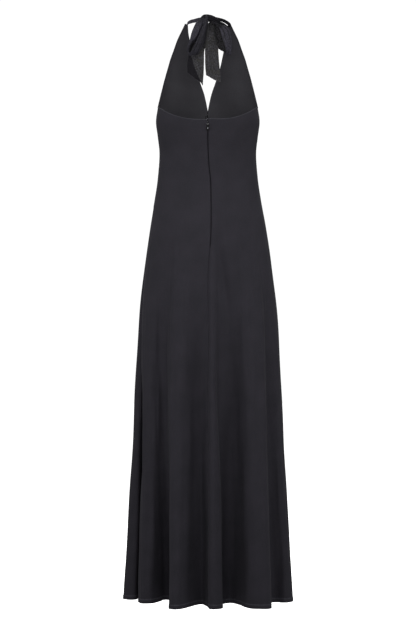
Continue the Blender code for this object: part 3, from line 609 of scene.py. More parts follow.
@dataclass(frozen=True)
class Panel:
    """One cut panel of the dress as a fine shell on its solid's form.

    Sizes are mm. `flat` is the cut's greatest width and length with hem and seam allowances, in metres, and
    `flat_area` its area in square metres; neither is used by this script.
    """

    node: str
    side: Side
    first_turn: float
    last_turn: float
    first_seam: Seam
    last_seam: Seam
    flat: tuple[float, float]
    flat_area: float
    columns: int = 150
    row_step: float = 5.0
    end_crowding: float = 0.62         # 0 spaces the columns evenly, more draws them towards the seams

    seam_depth: float = 1.9            # the groove at a sewn seam
    seam_width: float = 1.8
    seam_parting: float = 0.02         # gap between the two edges in it
    zip_depth: float = 2.2             # the groove over the zip
    zip_width: float = 2.4
    zip_parting: float = 1.6
    parting_spread: float = 3.0        # the cloth beside the gap gives way over this distance
    sewn_fade: float = 4.0             # drop over which a seam begins
    zip_fade: float = 10.0             # drop over which the zip's groove ends
    top_step: float = 2.2              # the right half closes a little higher at the zip
    top_step_spread: float = 12.0      # degrees of turn

    hem_step: float = 0.8              # the turned hem stands out
    hem_step_width: float = 1.2
    edge_roll: float = 0.7             # a free edge rolls out
    edge_roll_width: float = 1.6
    top_roll_width: float = 1.8
    edge_dent: float = 0.25            # the stitches beside it pull the cloth in
    edge_dent_width: float = 0.8
    edge_stitch: float = 0.35          # how much of a row of stitches shows
    edge_stitch_width: float = 0.7
    hem_stitch: float = 0.5
    hem_stitch_width: float = 0.9
    # painted highlight along the top edge's rim, in the stitches' colour
    top_rim_highlight_width: float = 1.3

    fullness: float = 1.0              # the cloth stands off its form a little
    full_from_drop: float = 60.0
    full_fade: float = 80.0
    zip_clearance: float = 14.0        # but not this near to the zip
    seam_turn: float = 1.6             # the cloth turns in at a seam
    edge_turn: float = 1.2             # and at a free edge or the zip
    turn_fade: float = 8.0             # drop between the two
    allowance: float = 6.5             # width of a seam allowance pressed open inside
    allowance_wall: float = 0.9
    allowance_step: float = 0.6
    allowance_notch: float = 0.9

    # distances of the crowded rows below the top edge and above the hem
    edge_rows: tuple[float, ...] = (0.0, 0.6, 1.4, 2.6, 4.0, 4.7, 5.4, 6.4, 8.0, 10.5, 14.0)
    hem_rows: tuple[float, ...] = (16.0, 13.0, 11.4, 10.7, 10.1, 9.5, 8.8, 7.0, 5.0, 3.0, 1.5, 0.6, 0.0)
    halter_rows_from: float = 18.0     # the halter's even rows begin this far below its top

    def column_lines(self, form: DressForm) -> Array:
        """u of each column: even along the hem, but crowded at both seams by a cosine.

        Args:
            form: the form that all panels share.

        Returns:
            u of the columns.
        """
        even = np.linspace(0.0, 1.0, self.columns + 1)
        crowded = 0.5 - 0.5 * np.cos(np.pi * even)
        return form.hem.columns(self.first_turn, self.last_turn,
                                even + self.end_crowding * (crowded - even))

    def rows_between(self, top: Array, bottom: Array) -> Array:
        """Drops of the rows between two edges, crowded where the edges are stitched.

        Args:
            top: drop of the upper edge at each column.
            bottom: drop of the lower edge at each column.

        Returns:
            A grid of drops.
        """
        length = float(np.mean(bottom - top))
        middle = np.arange(self.edge_rows[-1] + self.row_step, length - self.hem_rows[0], self.row_step)
        offsets = np.concatenate((self.edge_rows, middle, length - np.array(self.hem_rows)))
        return top + (offsets / length)[:, None] * (bottom - top)

    def drops(self, form: DressForm, u: Array) -> tuple[Array, Array]:
        """Drop of every grid point, and the drop of the top edge above it.

        The back's top edge dips by 1 less a power of the distance from the middle. The front's rows run up
        the halter to its top.

        Args:
            form: the form that all panels share.
            u: u of the columns.

        Returns:
            The grid of drops, and the top edge's drop at each column.
        """
        hem = form.hem.drop(u)
        if self.first_seam is Seam.CENTRE_BACK or self.last_seam is Seam.CENTRE_BACK:
            reach = np.abs(signed_power(np.cos(np.radians(form.hem.turn(u)))))
            top = UNDERARM_DROP + BACK_DIP * (1.0 - reach ** BACK_DIP_POWER)
            if self.side is Side.RIGHT:
                from_seam = form.hem.turn(u) - CENTRE_BACK_TURN
                top = top - self.top_step * bell(from_seam, self.top_step_spread)
            return self.rows_between(top, hem), top
        halter_top = HALTER[0][0]
        halter = np.concatenate((halter_top + np.array(self.edge_rows),
                                 np.arange(halter_top + self.halter_rows_from, UNDERARM_DROP, self.row_step)))
        under = np.full_like(u, UNDERARM_DROP)
        body = self.rows_between(under, hem)[len(self.edge_rows) - 1:]
        rows = np.concatenate((np.repeat(halter[:, None], len(u), axis=1), under[None, :], body))
        return rows, np.full_like(u, halter_top)

    def seam_relief(self, seam: Seam, from_seam: Array, drop: Array) -> tuple[Array, Array]:
        """Height and stitch line near one long edge, by the distance from it.

        A sewn seam pinches the cloth into a groove. Over the zip the groove is deeper. Where the edge is
        free, at the armhole and the neckline, it rolls out a little and a stitch line runs inside it.

        Args:
            seam: what the edge is sewn into.
            from_seam: distance of each point from the edge.
            drop: drops below the nape.

        Returns:
            The height at each point, and how much of a stitch line shows there.
        """
        sewn = smooth_step((drop - UNDERARM_DROP) / self.sewn_fade)
        height = -self.seam_depth * bell(from_seam, self.seam_width) * sewn
        if seam is Seam.CENTRE_BACK:
            zipped = smooth_step((ZIP_END_DROP - drop) / self.zip_fade)
            height = height - (self.zip_depth - self.seam_depth) * bell(from_seam, self.zip_width) * zipped
            return height, np.zeros_like(drop)
        free = 1.0 - sewn
        height = height + self.edge_roll * free * bell(from_seam, self.edge_roll_width)
        height = height - self.edge_dent * free * bell(from_seam - EDGE_BAND, self.edge_dent_width)
        return height, free * bell(from_seam - EDGE_BAND, self.edge_stitch_width) * self.edge_stitch

    def relief(self, form: DressForm, u: Array, drop: Array, top: Array,
               smooth: Array) -> tuple[Array, Array]:
        """Height of the cloth over its form, and how much of a stitch line or painted rim highlight shows.

        The height is the sum of creases, ripples, both long edges, the hem's step, the top edge's roll and
        the cloth's fullness. The stitches are those of the long edges and the hem, and a painted highlight
        runs along the top edge's rim in the stitches' colour.

        Args:
            form: the form that all panels share.
            u: u of the columns.
            drop: the grid of drops.
            top: the top edge's drop at each column.
            smooth: the grid of points on the smooth form.

        Returns:
            Both at each point of the grid.
        """
        length_round = arc_round(smooth)
        edges = ((self.first_seam, length_round), (self.last_seam, length_round[:, -1:] - length_round))
        (height_first, stitches_first), (height_last, stitches_last) = [
            self.seam_relief(seam, from_seam, drop) for seam, from_seam in edges]
        from_hem, from_top = form.hem.drop(u) - drop, drop - top
        hem_step = self.hem_step * smooth_step((HEM_BAND - from_hem) / self.hem_step_width + 0.5)
        top_roll = self.edge_roll * bell(from_top, self.top_roll_width)
        full = self.fullness * smooth_step((drop - self.full_from_drop) / self.full_fade)
        for seam, from_seam in edges:
            if seam is Seam.CENTRE_BACK:
                full = full * (1.0 - bell(from_seam, self.zip_clearance))
        turn = form.hem.turn(np.broadcast_to(u, drop.shape))
        height = form.crease_height(smooth) + form.ripple_height(turn, drop)
        height = height + height_first + height_last + hem_step + top_roll + full
        # the top edge's term is a painted highlight along its rim
        stitches_and_rim_highlight = (stitches_first + stitches_last
                    + self.hem_stitch * bell(from_hem - HEM_BAND, self.hem_stitch_width)
                    + bell(from_top, self.top_rim_highlight_width))
        return height, np.clip(stitches_and_rim_highlight, 0.0, 1.0)

    def turned_in(self, outer: Array, normal: Array, drop: Array, length_round: Array) -> Array:
        """Parts the grid from its neighbours at both long edges, and adds a column there that turns in.

        The parting moves each edge by half the gap, and the columns beside it by a share that falls off
        exponentially with the distance.

        Args:
            outer: the grid of points on the cloth's face.
            normal: outward normals there.
            drop: the grid of drops.
            length_round: distance of each point from the first edge.

        Returns:
            The grid, two columns wider.
        """
        turned = []
        for seam, edge, neighbour in ((self.first_seam, 0, 1), (self.last_seam, -1, -2)):
            zipped = (seam is Seam.CENTRE_BACK) * smooth_step((ZIP_END_DROP - drop[:, edge]) / self.zip_fade)
            parting = self.seam_parting + (self.zip_parting - self.seam_parting) * zipped
            away = unit(outer[:, neighbour] - outer[:, edge])[:, None]
            from_edge = np.abs(length_round - length_round[:, edge][:, None])
            shift = parting[:, None] / 2 * np.exp(-from_edge / self.parting_spread)
            outer = outer + away * shift[..., None]
            sewn = smooth_step((drop[:, edge] - UNDERARM_DROP) / self.turn_fade) * (1.0 - zipped)
            turn_in = self.edge_turn + (self.seam_turn - self.edge_turn) * sewn
            turned.append((outer[:, edge] - normal[:, edge] * turn_in[:, None])[:, None])
        return np.concatenate((turned[0], outer, turned[1]), axis=1)

    def wall(self, length_round: Array, drop: Array) -> Array:
        """Thickness: one layer of crepe, and more where an allowance is pressed open inside.

        Args:
            length_round: distance of each point from the first edge.
            drop: the grid of drops.

        Returns:
            The thickness at each point, mm.
        """
        from_seam = np.minimum(length_round, length_round[:, -1:] - length_round)
        pressed = smooth_step((self.allowance - from_seam) / self.allowance_step + 0.5)
        pressed = pressed * smooth_step((drop - UNDERARM_DROP) / self.sewn_fade)
        pressed = pressed * (1.0 - bell(from_seam, self.allowance_notch))
        return CREPE_WALL + self.allowance_wall * pressed

    def build(self, form: DressForm, materials: Sequence[bpy.types.Material]) -> bpy.types.Object:
        """Args:
            form: the form that all panels share.
            materials: the cloth's right side and wrong side.

        Returns:
            The piece.
        """
        u = self.column_lines(form)
        drop, top = self.drops(form, u)
        grid_u = np.broadcast_to(u, drop.shape)
        smooth = form.points(grid_u, drop, self.side)
        normal = form.normals(grid_u, drop, self.side)
        length_round = arc_round(smooth)
        height, stitches_and_rim_highlight = self.relief(form, u, drop, top, smooth)
        outer = self.turned_in(smooth + normal * height[..., None], normal, drop, length_round)
        wall = np.pad(self.wall(length_round, drop), ((0, 0), (1, 1)), mode="edge")
        piece = Shell(self.node + "_cloth", outer, wall, np.pad(stitches_and_rim_highlight, ((0, 0), (1, 1)))).build(materials)
        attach(piece, "dress")
        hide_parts(self.node)
        return piece


# ---------------------------------------------------------------- the ties and their bow
# Each stretch of tie is drawn by lanes: lines that run along it. A row gives one point for each lane, mm.
TIE_LEFT = (
    # lower edge, upper edge
    (57.0, -44.0, -8.5, 52.0, -52.0, -6.0),
    (53.0, -36.0, -8.5, 51.0, -41.0, -1.0),
    (44.5, -20.0, -7.5, 44.5, -26.0, 2.0),
    (31.0, -4.0, -6.5, 32.0, -8.0, 3.0),
    (14.5, 6.0, -4.5, 14.0, 5.0, 5.5),
)
TIE_RIGHT_UPPER = (
    # lower edge, upper edge
    (-55.0, -50.0, -13.5, -58.5, -46.0, -9.0),
    (-50.5, -37.0, -9.0, -56.0, -36.0, -3.0),
    (-39.5, -18.0, -4.5, -43.5, -18.0, 2.5),
    (-29.0, -3.0, -3.5, -32.0, -2.0, 4.0),
    (-14.5, 6.0, -2.0, -18.0, 6.0, 6.0),
)
TIE_RIGHT_LOWER = (
    # lower edge, upper edge
    (-54.0, -58.0, -29.5, -58.5, -55.0, -23.5),
    (-46.5, -42.0, -24.5, -53.0, -40.0, -13.5),
    (-35.0, -21.0, -15.5, -39.5, -20.0, -5.5),
    (-23.0, -4.0, -9.5, -26.5, -3.0, -3.0),
    (-11.0, 5.0, -10.0, -14.5, 6.0, -1.0),
)
LOOP_LEFT = (
    # left edge, middle, right edge: down the near layer, round the fold, up the far layer
    (9.0, 14.0, 2.0, 4.0, 17.0, 4.0, -0.5, 15.0, 0.0),
    (11.0, 22.0, -6.0, 4.5, 25.0, -6.5, -1.0, 19.0, -11.0),
    (13.0, 26.0, -20.0, 6.5, 27.0, -21.0, -0.5, 18.0, -25.0),
    (19.0, 30.0, -35.5, 11.0, 28.0, -39.0, 3.0, 17.0, -42.5),
    (25.0, 34.0, -51.0, 17.0, 30.0, -57.0, 9.5, 18.0, -60.5),
    (31.0, 34.0, -65.0, 24.0, 29.0, -72.0, 17.5, 18.0, -77.0),
    (38.0, 27.0, -79.5, 31.5, 24.0, -85.0, 25.0, 15.0, -89.0),
    (46.5, 18.0, -86.5, 40.5, 17.0, -92.0, 33.5, 12.0, -96.5),
    (51.5, 13.5, -81.5, 47.5, 14.0, -90.5, 39.0, 10.0, -97.0),
    (51.5, 13.0, -72.5, 48.0, 17.0, -75.5, 36.5, 2.0, -80.0),
    (46.0, 13.0, -56.0, 41.5, 18.0, -59.0, 30.0, 2.0, -62.5),
    (42.0, 13.0, -38.5, 28.5, 20.0, -43.0, 20.0, 6.0, -45.0),
    (36.0, 13.0, -22.0, 20.0, 20.0, -24.0, 12.0, 6.0, -25.5),
    (28.0, 13.0, -7.5, 14.0, 19.0, -8.0, 7.0, 8.0, -8.5),
    (16.5, 12.5, 3.0, 9.5, 15.0, 5.0, 4.0, 10.0, 2.5),
)
LOOP_RIGHT = (
    # left edge, middle, right edge: down the near layer, round the fold, up the far layer
    (-17.0, 17.0, -13.0, -17.5, 16.0, -10.0, -19.0, 14.0, -7.0),
    (-27.0, 21.0, -21.0, -29.5, 20.0, -18.5, -33.5, 17.0, -16.0),
    (-31.0, 24.0, -28.0, -39.0, 23.0, -23.0, -47.5, 18.0, -18.5),
    (-33.0, 26.0, -35.5, -46.0, 25.0, -33.5, -58.0, 19.0, -31.0),
    (-36.5, 27.0, -49.0, -49.5, 26.0, -49.0, -62.0, 18.0, -49.0),
    (-41.0, 27.0, -64.0, -52.5, 25.0, -65.0, -62.5, 17.0, -66.5),
    (-45.5, 25.0, -76.5, -53.5, 22.0, -78.5, -61.0, 15.0, -81.5),
    (-47.0, 18.0, -86.0, -52.0, 16.0, -89.0, -57.0, 12.0, -91.0),
    (-37.0, 11.0, -80.0, -42.5, 9.0, -84.0, -50.0, 7.0, -88.5),
    (-22.0, 11.0, -72.0, -34.5, 5.0, -75.0, -45.0, 3.0, -77.5),
    (-17.0, 12.0, -58.5, -29.5, 4.0, -59.0, -43.5, 2.0, -60.0),
    (-12.0, 12.0, -43.5, -26.5, 3.0, -42.0, -41.0, 2.0, -42.0),
    (-7.5, 12.0, -28.0, -21.0, 4.0, -26.0, -36.0, 3.0, -25.5),
    (-4.0, 12.0, -15.5, -13.0, 7.0, -13.0, -26.0, 5.0, -12.0),
)
TAIL_LEFT = (
    # left edge, fold line, right edge: left of the fold line the tail is turned back
    (9.5, 6.5, -9.2, 8.5, 7.0, -9.6, -1.0, 7.0, -11.7),
    (20.0, 5.0, -27.5, 18.5, 6.0, -28.0, 1.5, 6.5, -32.6),
    (33.0, 6.0, -53.0, 31.5, 8.0, -53.4, 4.5, 9.0, -59.2),
    (46.0, 9.0, -81.6, 44.0, 12.0, -82.0, 9.0, 15.0, -83.6),
    (50.0, 12.0, -103.0, 38.5, 19.0, -104.0, 9.5, 24.0, -110.0),
    (51.5, 16.0, -120.0, 32.0, 27.0, -127.0, 10.5, 30.0, -141.0),
    (51.0, 19.0, -136.5, 16.0, 35.0, -164.5, 13.0, 36.0, -171.5),
)
TAIL_RIGHT = (
    # left edge, soft ridge, right edge
    (2.5, 20.0, -11.5, -4.5, 23.0, -12.5, -13.5, 17.0, -10.0),
    (2.0, 22.0, -24.5, -7.0, 26.0, -26.0, -16.5, 18.0, -24.0),
    (4.0, 23.0, -42.0, -8.0, 27.0, -45.0, -20.5, 18.0, -43.0),
    (7.0, 24.0, -67.5, -9.5, 28.0, -70.5, -25.5, 19.0, -69.5),
    (7.0, 26.0, -95.5, -12.0, 29.0, -98.5, -27.5, 24.0, -98.0),
    (6.5, 30.0, -121.5, -14.5, 33.0, -125.5, -30.0, 30.0, -126.5),
    (4.5, 34.0, -144.5, -14.5, 37.5, -156.0, -33.5, 37.0, -165.0),
)


class Gathered(Enum):
    """Which ends of a ribbon are drawn together into small pleats."""

    START = "start"
    BOTH = "both"


class Look(Enum):
    """How the ties' chiffon looks, by its side and by where it lies; the last two are darker copies: painted
    shade.
    """

    GRAINY = "crinkled right side"
    SMOOTH = "smooth side"
    # painted shade: a darker copy for the straps and the knot's rolls, and the turned-back flap's wrong side
    SHADED = "wrong side, turned from the light"
    # painted shade: a darker copy for the cloth drawn into the knot
    GATHERED_PAINTED_SHADE = "drawn into the knot"


@dataclass(frozen=True)
class Ribbon:
    """A band of the chiffon ties as a doubled shell between lanes.

    A pleat is a row of (place across at the start, place across at the end, width, height), with places and
    widths as shares of the ribbon's width and the height in mm. A painted fold shade is a row of (place along
    and across at its start, the same at its end, width across, strength of the painted shade), all as shares.
    """

    lanes: tuple[tuple[float, ...], ...]
    pleats: tuple[tuple[float, float, float, float], ...] = ()
    gathered: Gathered = Gathered.START
    gathers: float = 4.0
    gather_depth: float = 1.0
    gather_reach: float = 0.22         # share of the length over which the gathers fade
    gather_drift: float = 1.3          # radians by which they shift along the whole length
    crinkle: float = 0.35              # height of the crinkle, mm
    crinkle_waves: tuple[tuple[float, float, float], ...] = (
        # radians per mm down, radians per mm across, phase: two that cross, and one laid over them
        (0.52, 0.31, 0.0),
        (0.23, -0.64, 0.0),
        (0.9, 0.8, 2.0),
    )
    reverse_lanes: int = 0             # segments from the first lane that show the other side
    # painted shade: each row darkens the colour along a line where a fold's shade falls, and sinks the cloth
    # a little
    painted_fold_shades: tuple[tuple[float, float, float, float, float, float], ...] = ()
    fold_fade: float = 0.035           # share of the length over which a fold's shade fades past its ends
    fold_sink: float = 0.5             # mm that the cloth sinks in the deepest fold
    pleat_fade: float = 0.08           # share of the length over which the pleats begin
    steps: int = 110
    across: int = 30

    def shade(self) -> Array:
        """Painted shade of the folds at each point: humps across straight lines, faded past their ends.

        What the folds leave open is multiplied, each time by 1 less the fold's strength times its hump.

        Returns:
            A grid of values from 0 to 1.
        """
        t = np.linspace(0.0, 1.0, self.steps + 1)[:, None]
        s = np.linspace(0.0, 1.0, self.across + 1)[None, :]
        open_share = np.ones((self.steps + 1, self.across + 1))
        for t_start, s_start, t_end, s_end, width, strength in self.painted_fold_shades:
            part = np.clip((t - t_start) / (t_end - t_start), 0.0, 1.0)
            beyond = np.maximum(t_start - t, t - t_end)
            hump = bell(s - (s_start + (s_end - s_start) * part), width)
            open_share *= 1.0 - strength * hump * bell(np.maximum(beyond, 0.0), self.fold_fade)
        return 1.0 - open_share

    def surface(self) -> Array:
        """Points of the middle of the cloth.

        Cubic curves run along the lanes, straight lines join them across, and the result is moved along its
        normal by the pleats, by gathers that fade from the drawn ends, and by a crinkle: a product of two
        crossing sine waves with half of a third one added.

        Returns:
            A grid of points, mm.
        """
        table = np.array(self.lanes)
        keys = np.arange(len(table), dtype=float)
        along = np.linspace(0.0, keys[-1], self.steps + 1)
        lines = np.stack([through(keys, table[:, n], along) for n in range(table.shape[1])], -1)
        lines = lines.reshape(len(along), -1, 3)
        segments = lines.shape[1] - 1
        s = np.linspace(0.0, 1.0, self.across + 1)
        lane = np.minimum((s * segments).astype(int), segments - 1)
        part = (s * segments - lane)[None, :, None]
        points = lines[:, lane] * (1.0 - part) + lines[:, lane + 1] * part

        t = (along / keys[-1])[:, None]
        s = s[None, :]
        height = np.zeros(points.shape[:2])
        for start, end, width, rise in self.pleats:
            height += rise * bell(s - (start + (end - start) * t), width) * smooth_step(t / self.pleat_fade)
        near_end = bell(t, self.gather_reach)
        if self.gathered is Gathered.BOTH:
            near_end = near_end + bell(1.0 - t, self.gather_reach)
        height += self.gather_depth * near_end * np.cos(2 * np.pi * self.gathers * s + self.gather_drift * t)
        steps = np.linalg.norm(np.diff(points[:, self.across // 2], axis=0), axis=-1)
        down = np.concatenate(([0.0], np.cumsum(steps)))[:, None]
        out = s * np.linalg.norm(points[:, -1] - points[:, 0], axis=-1)[:, None]
        first, second, over = [np.sin(a * down + b * out + phase) for a, b, phase in self.crinkle_waves]
        height += self.crinkle * (first * second + 0.5 * over)
        height -= self.fold_sink * self.shade()
        return points + grid_normal(points) * height[..., None]

    def build(self, name: str, materials: Sequence[bpy.types.Material]) -> bpy.types.Object:
        """Makes the ribbon.

        Args:
            name: the piece's name.
            materials: the side that shows, then the other one.

        Returns:
            The piece.
        """
        middle = self.surface()
        outer = middle + grid_normal(middle) * CHIFFON_WALL / 2
        segments = len(self.lanes[0]) // 3 - 1
        turned = self.across * self.reverse_lanes // segments
        return Shell(name, outer, CHIFFON_WALL, self.shade(), turned).build(materials)


def joined(name: str, items: Sequence[bpy.types.Object]) -> bpy.types.Object:
    """Joins objects into the first of them and names it.

    Args:
        name: the piece's name.
        items: one object or more.

    Returns:
        The piece.
    """
    first = items[0]
    if len(items) > 1:
        with bpy.context.temp_override(active_object=first, selected_editable_objects=list(items)):
            bpy.ops.object.join()
    first.name = name
    return first


@dataclass(frozen=True)
class Stretch:
    """A stretch of the ties cut as one sheet: one band, or two where it is slit."""

    node: str
    flat: tuple[float, float]          # width and length laid flat, metres
    looks: tuple[Look, Look]           # the side that shows, the other one
    bands: tuple[Ribbon, ...]

    def build(self, finishes: "Wardrobe") -> bpy.types.Object:
        """Args:
            finishes: the dress's finishes.

        Returns:
            The piece.
        """
        name = self.node + "_cloth"
        materials = [finishes.chiffon[look] for look in self.looks]
        piece = joined(name, [band.build(name, materials) for band in self.bands])
        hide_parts(self.node)
        return piece


@dataclass(frozen=True)
class Roll:
    """A roll of gathered cloth or wound wire along a path: an oval tube with twisting pleats and closed ends.

    A path row is (x, y, z, half depth, half height) in mm.
    """

    path: tuple[tuple[float, float, float, float, float], ...]
    pleats: int = 5
    pleat_depth: float = 0.16
    twist: float = 1.6
    steps: int = 48
    sides: int = 40

    def mesh(self, name: str) -> bpy.types.Mesh:
        """Mesh of the roll.

        At each step the section is an oval across the path's direction, its radius lowered in the pleats:
        radius = 1 - depth * (1 - cos(pleats * angle + twist * pi * t)) / 2. The oval shrinks to a point at
        either end by the root of 1 less the sixth power of the distance from the middle.

        Args:
            name: the mesh's name.

        Returns:
            The mesh.
        """
        table = np.array(self.path)
        keys = np.arange(len(table), dtype=float)
        along = np.linspace(0.0, keys[-1], self.steps + 1)
        x, y, z, depth, height = [through(keys, table[:, n], along) for n in range(5)]
        centre = np.stack((x, y, z), -1)
        forward = unit(np.gradient(centre, axis=0))
        out = unit(np.cross(forward, np.array((0.0, 0.0, 1.0))))
        rise = np.cross(out, forward)
        t = along / keys[-1]
        closing = np.sqrt(np.clip(1.0 - np.abs(2.0 * t - 1.0) ** 6, 0.0, 1.0))
        angle = np.linspace(0.0, 2 * np.pi, self.sides, endpoint=False)[None, :]
        wave = np.cos(self.pleats * angle + self.twist * np.pi * t[:, None])
        pleat = 1.0 - self.pleat_depth * (0.5 - 0.5 * wave)
        reach = (closing[:, None] * pleat)[..., None]
        ring = (out[:, None] * (depth[:, None] * np.cos(angle))[..., None]
                + rise[:, None] * (height[:, None] * np.sin(angle))[..., None])
        inner = (centre[:, None] + ring * reach)[1:-1]
        number = np.arange(inner.shape[0] * self.sides).reshape(inner.shape[0], self.sides)
        beside = np.roll(number, -1, axis=1)
        quads = np.stack((number[:-1], beside[:-1], beside[1:], number[1:]), -1).reshape(-1, 4)
        first, last = number.size, number.size + 1
        caps = [(first, b, a) for a, b in zip(number[0], beside[0])]
        caps += [(last, a, b) for a, b in zip(number[-1], beside[-1])]
        points = np.concatenate((inner.reshape(-1, 3), centre[[0, -1]])) * MM
        mesh = bpy.data.meshes.new(name)
        mesh.from_pydata(points.tolist(), [], quads.tolist() + caps)
        return mesh


@dataclass(frozen=True)
class Bow:
    """The neck ties and the limp bow at the nape: two loops, two slanted tails and the knot."""

    stretches: tuple[Stretch, ...] = (
        Stretch("tie_left", (0.012, 0.075), (Look.SMOOTH, Look.SMOOTH), (
            Ribbon(TIE_LEFT, ((0.3, 0.35, 0.07, -0.7), (0.65, 0.6, 0.06, -0.6)),
                   gathered=Gathered.BOTH, gathers=3.0, gather_depth=0.6, across=20),)),
        Stretch("bow_loop_left", (0.030, 0.22), (Look.SMOOTH, Look.SMOOTH), (
            Ribbon(LOOP_LEFT, ((0.22, 0.26, 0.05, -0.9), (0.72, 0.7, 0.05, -1.2), (0.36, 0.36, 0.06, 0.7)),
                   gathered=Gathered.BOTH, gather_depth=0.9, steps=150, across=36,
                   painted_fold_shades=((0.0, 0.5, 0.34, 0.5, 0.8, 0.45), (0.0, 0.28, 0.42, 0.2, 0.07, 0.6),
                          (0.0, 0.72, 0.46, 0.8, 0.08, 0.5), (0.62, 1.0, 1.0, 0.95, 0.22, 0.9),
                          (0.59, 0.65, 0.69, 0.75, 0.3, 0.97), (0.95, 0.5, 1.0, 0.5, 0.6, 0.6),
                          (0.42, 0.5, 0.5, 0.5, 0.9, 0.4))),)),
        Stretch("bow_loop_right", (0.027, 0.18), (Look.SMOOTH, Look.GRAINY), (
            Ribbon(LOOP_RIGHT, ((0.3, 0.36, 0.06, -0.9), (0.72, 0.64, 0.06, 0.9)),
                   gathered=Gathered.BOTH, gather_depth=0.9, steps=140, across=36,
                   painted_fold_shades=((0.0, 0.5, 0.09, 0.5, 0.9, 0.95), (0.05, 0.2, 0.28, 0.3, 0.07, 0.8),
                          (0.05, 0.62, 0.36, 0.74, 0.06, 0.7), (0.12, 0.95, 0.46, 1.0, 0.1, 0.7),
                          (0.3, 0.1, 0.52, 0.0, 0.08, 0.5), (0.28, 0.5, 0.5, 0.56, 0.05, 0.35),
                          (0.62, 0.5, 1.0, 0.5, 1.0, 0.25), (0.6, 1.0, 0.9, 1.0, 0.2, 0.5))),)),
        Stretch("bow_tail_left", (0.040, 0.17), (Look.GRAINY, Look.SHADED), (
            Ribbon(TAIL_LEFT, ((0.8, 0.75, 0.06, -0.8), (0.62, 0.9, 0.05, 0.6)), reverse_lanes=1, across=40,
                   painted_fold_shades=((0.0, 0.5, 0.2, 0.5, 0.8, 0.5), (0.0, 1.0, 0.9, 1.0, 0.04, 0.4))),)),
        Stretch("bow_tail_right", (0.038, 0.157), (Look.GRAINY, Look.SMOOTH), (
            Ribbon(TAIL_RIGHT, ((0.28, 0.2, 0.07, 1.1), (0.42, 0.34, 0.05, -0.8)), across=40,
                   painted_fold_shades=((0.0, 0.5, 0.08, 0.5, 0.9, 0.97), (0.0, 0.5, 0.2, 0.5, 0.8, 0.6),
                          (0.0, 0.12, 0.5, 0.0, 0.1, 0.8), (0.0, 0.82, 0.46, 1.0, 0.18, 0.75),
                          (0.1, 0.34, 0.38, 0.26, 0.05, 0.5), (0.5, 0.0, 1.0, 0.0, 0.04, 0.5))),)),
        Stretch("tie_right", (0.018, 0.09), (Look.SHADED, Look.SHADED), (
            Ribbon(TIE_RIGHT_UPPER, ((0.4, 0.5, 0.1, -1.2),), gathers=2.0, gather_depth=0.9, across=20),
            Ribbon(TIE_RIGHT_LOWER, ((0.5, 0.45, 0.1, -1.4),), gathers=2.0, gather_depth=1.0, across=20))),
    )
    knot_rolls: tuple[tuple[Look, Roll], ...] = (
        # the wrap round the ties, the loop's neck that hangs over it, the neck of the right loop
        (Look.SHADED, Roll(((17.0, 8.0, 5.0, 4.5, 5.5), (6.0, 11.0, 4.0, 7.0, 8.0),
                            (-7.0, 10.0, 1.0, 8.0, 9.5), (-20.0, 6.0, -2.5, 6.5, 8.0),
                            (-32.0, 0.5, -5.5, 4.0, 5.0)),
                           pleats=7, pleat_depth=0.22, twist=2.6, steps=64)),
        (Look.GATHERED_PAINTED_SHADE, Roll(((5.0, 13.0, 9.0, 3.0, 3.6), (3.4, 18.5, 2.0, 3.8, 3.8),
                              (3.4, 18.0, -8.0, 3.2, 3.4), (4.5, 11.0, -14.5, 2.4, 2.4)),
                             pleats=4, twist=1.2)),
        (Look.SHADED, Roll(((-2.5, 11.0, -12.0, 3.2, 3.6), (-10.0, 15.5, -10.5, 4.0, 4.8),
                            (-17.0, 14.5, -12.0, 4.0, 4.4), (-23.0, 11.0, -16.0, 2.6, 3.0)),
                           pleats=5, twist=2.0)),
    )

    def build(self, finishes: "Wardrobe") -> list[bpy.types.Object]:
        """Makes every stretch of the ties and the knot.

        Args:
            finishes: the dress's finishes.

        Returns:
            The pieces.
        """
        pieces = [stretch.build(finishes) for stretch in self.stretches]
        knot = joined("knot_cloth", [link("knot_roll", roll.mesh("knot_roll"), (finishes.chiffon[look],))
                                     for look, roll in self.knot_rolls])
        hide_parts("bow_knot")
        for piece in [*pieces, knot]:
            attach(piece, "dress")
        return [*pieces, knot]


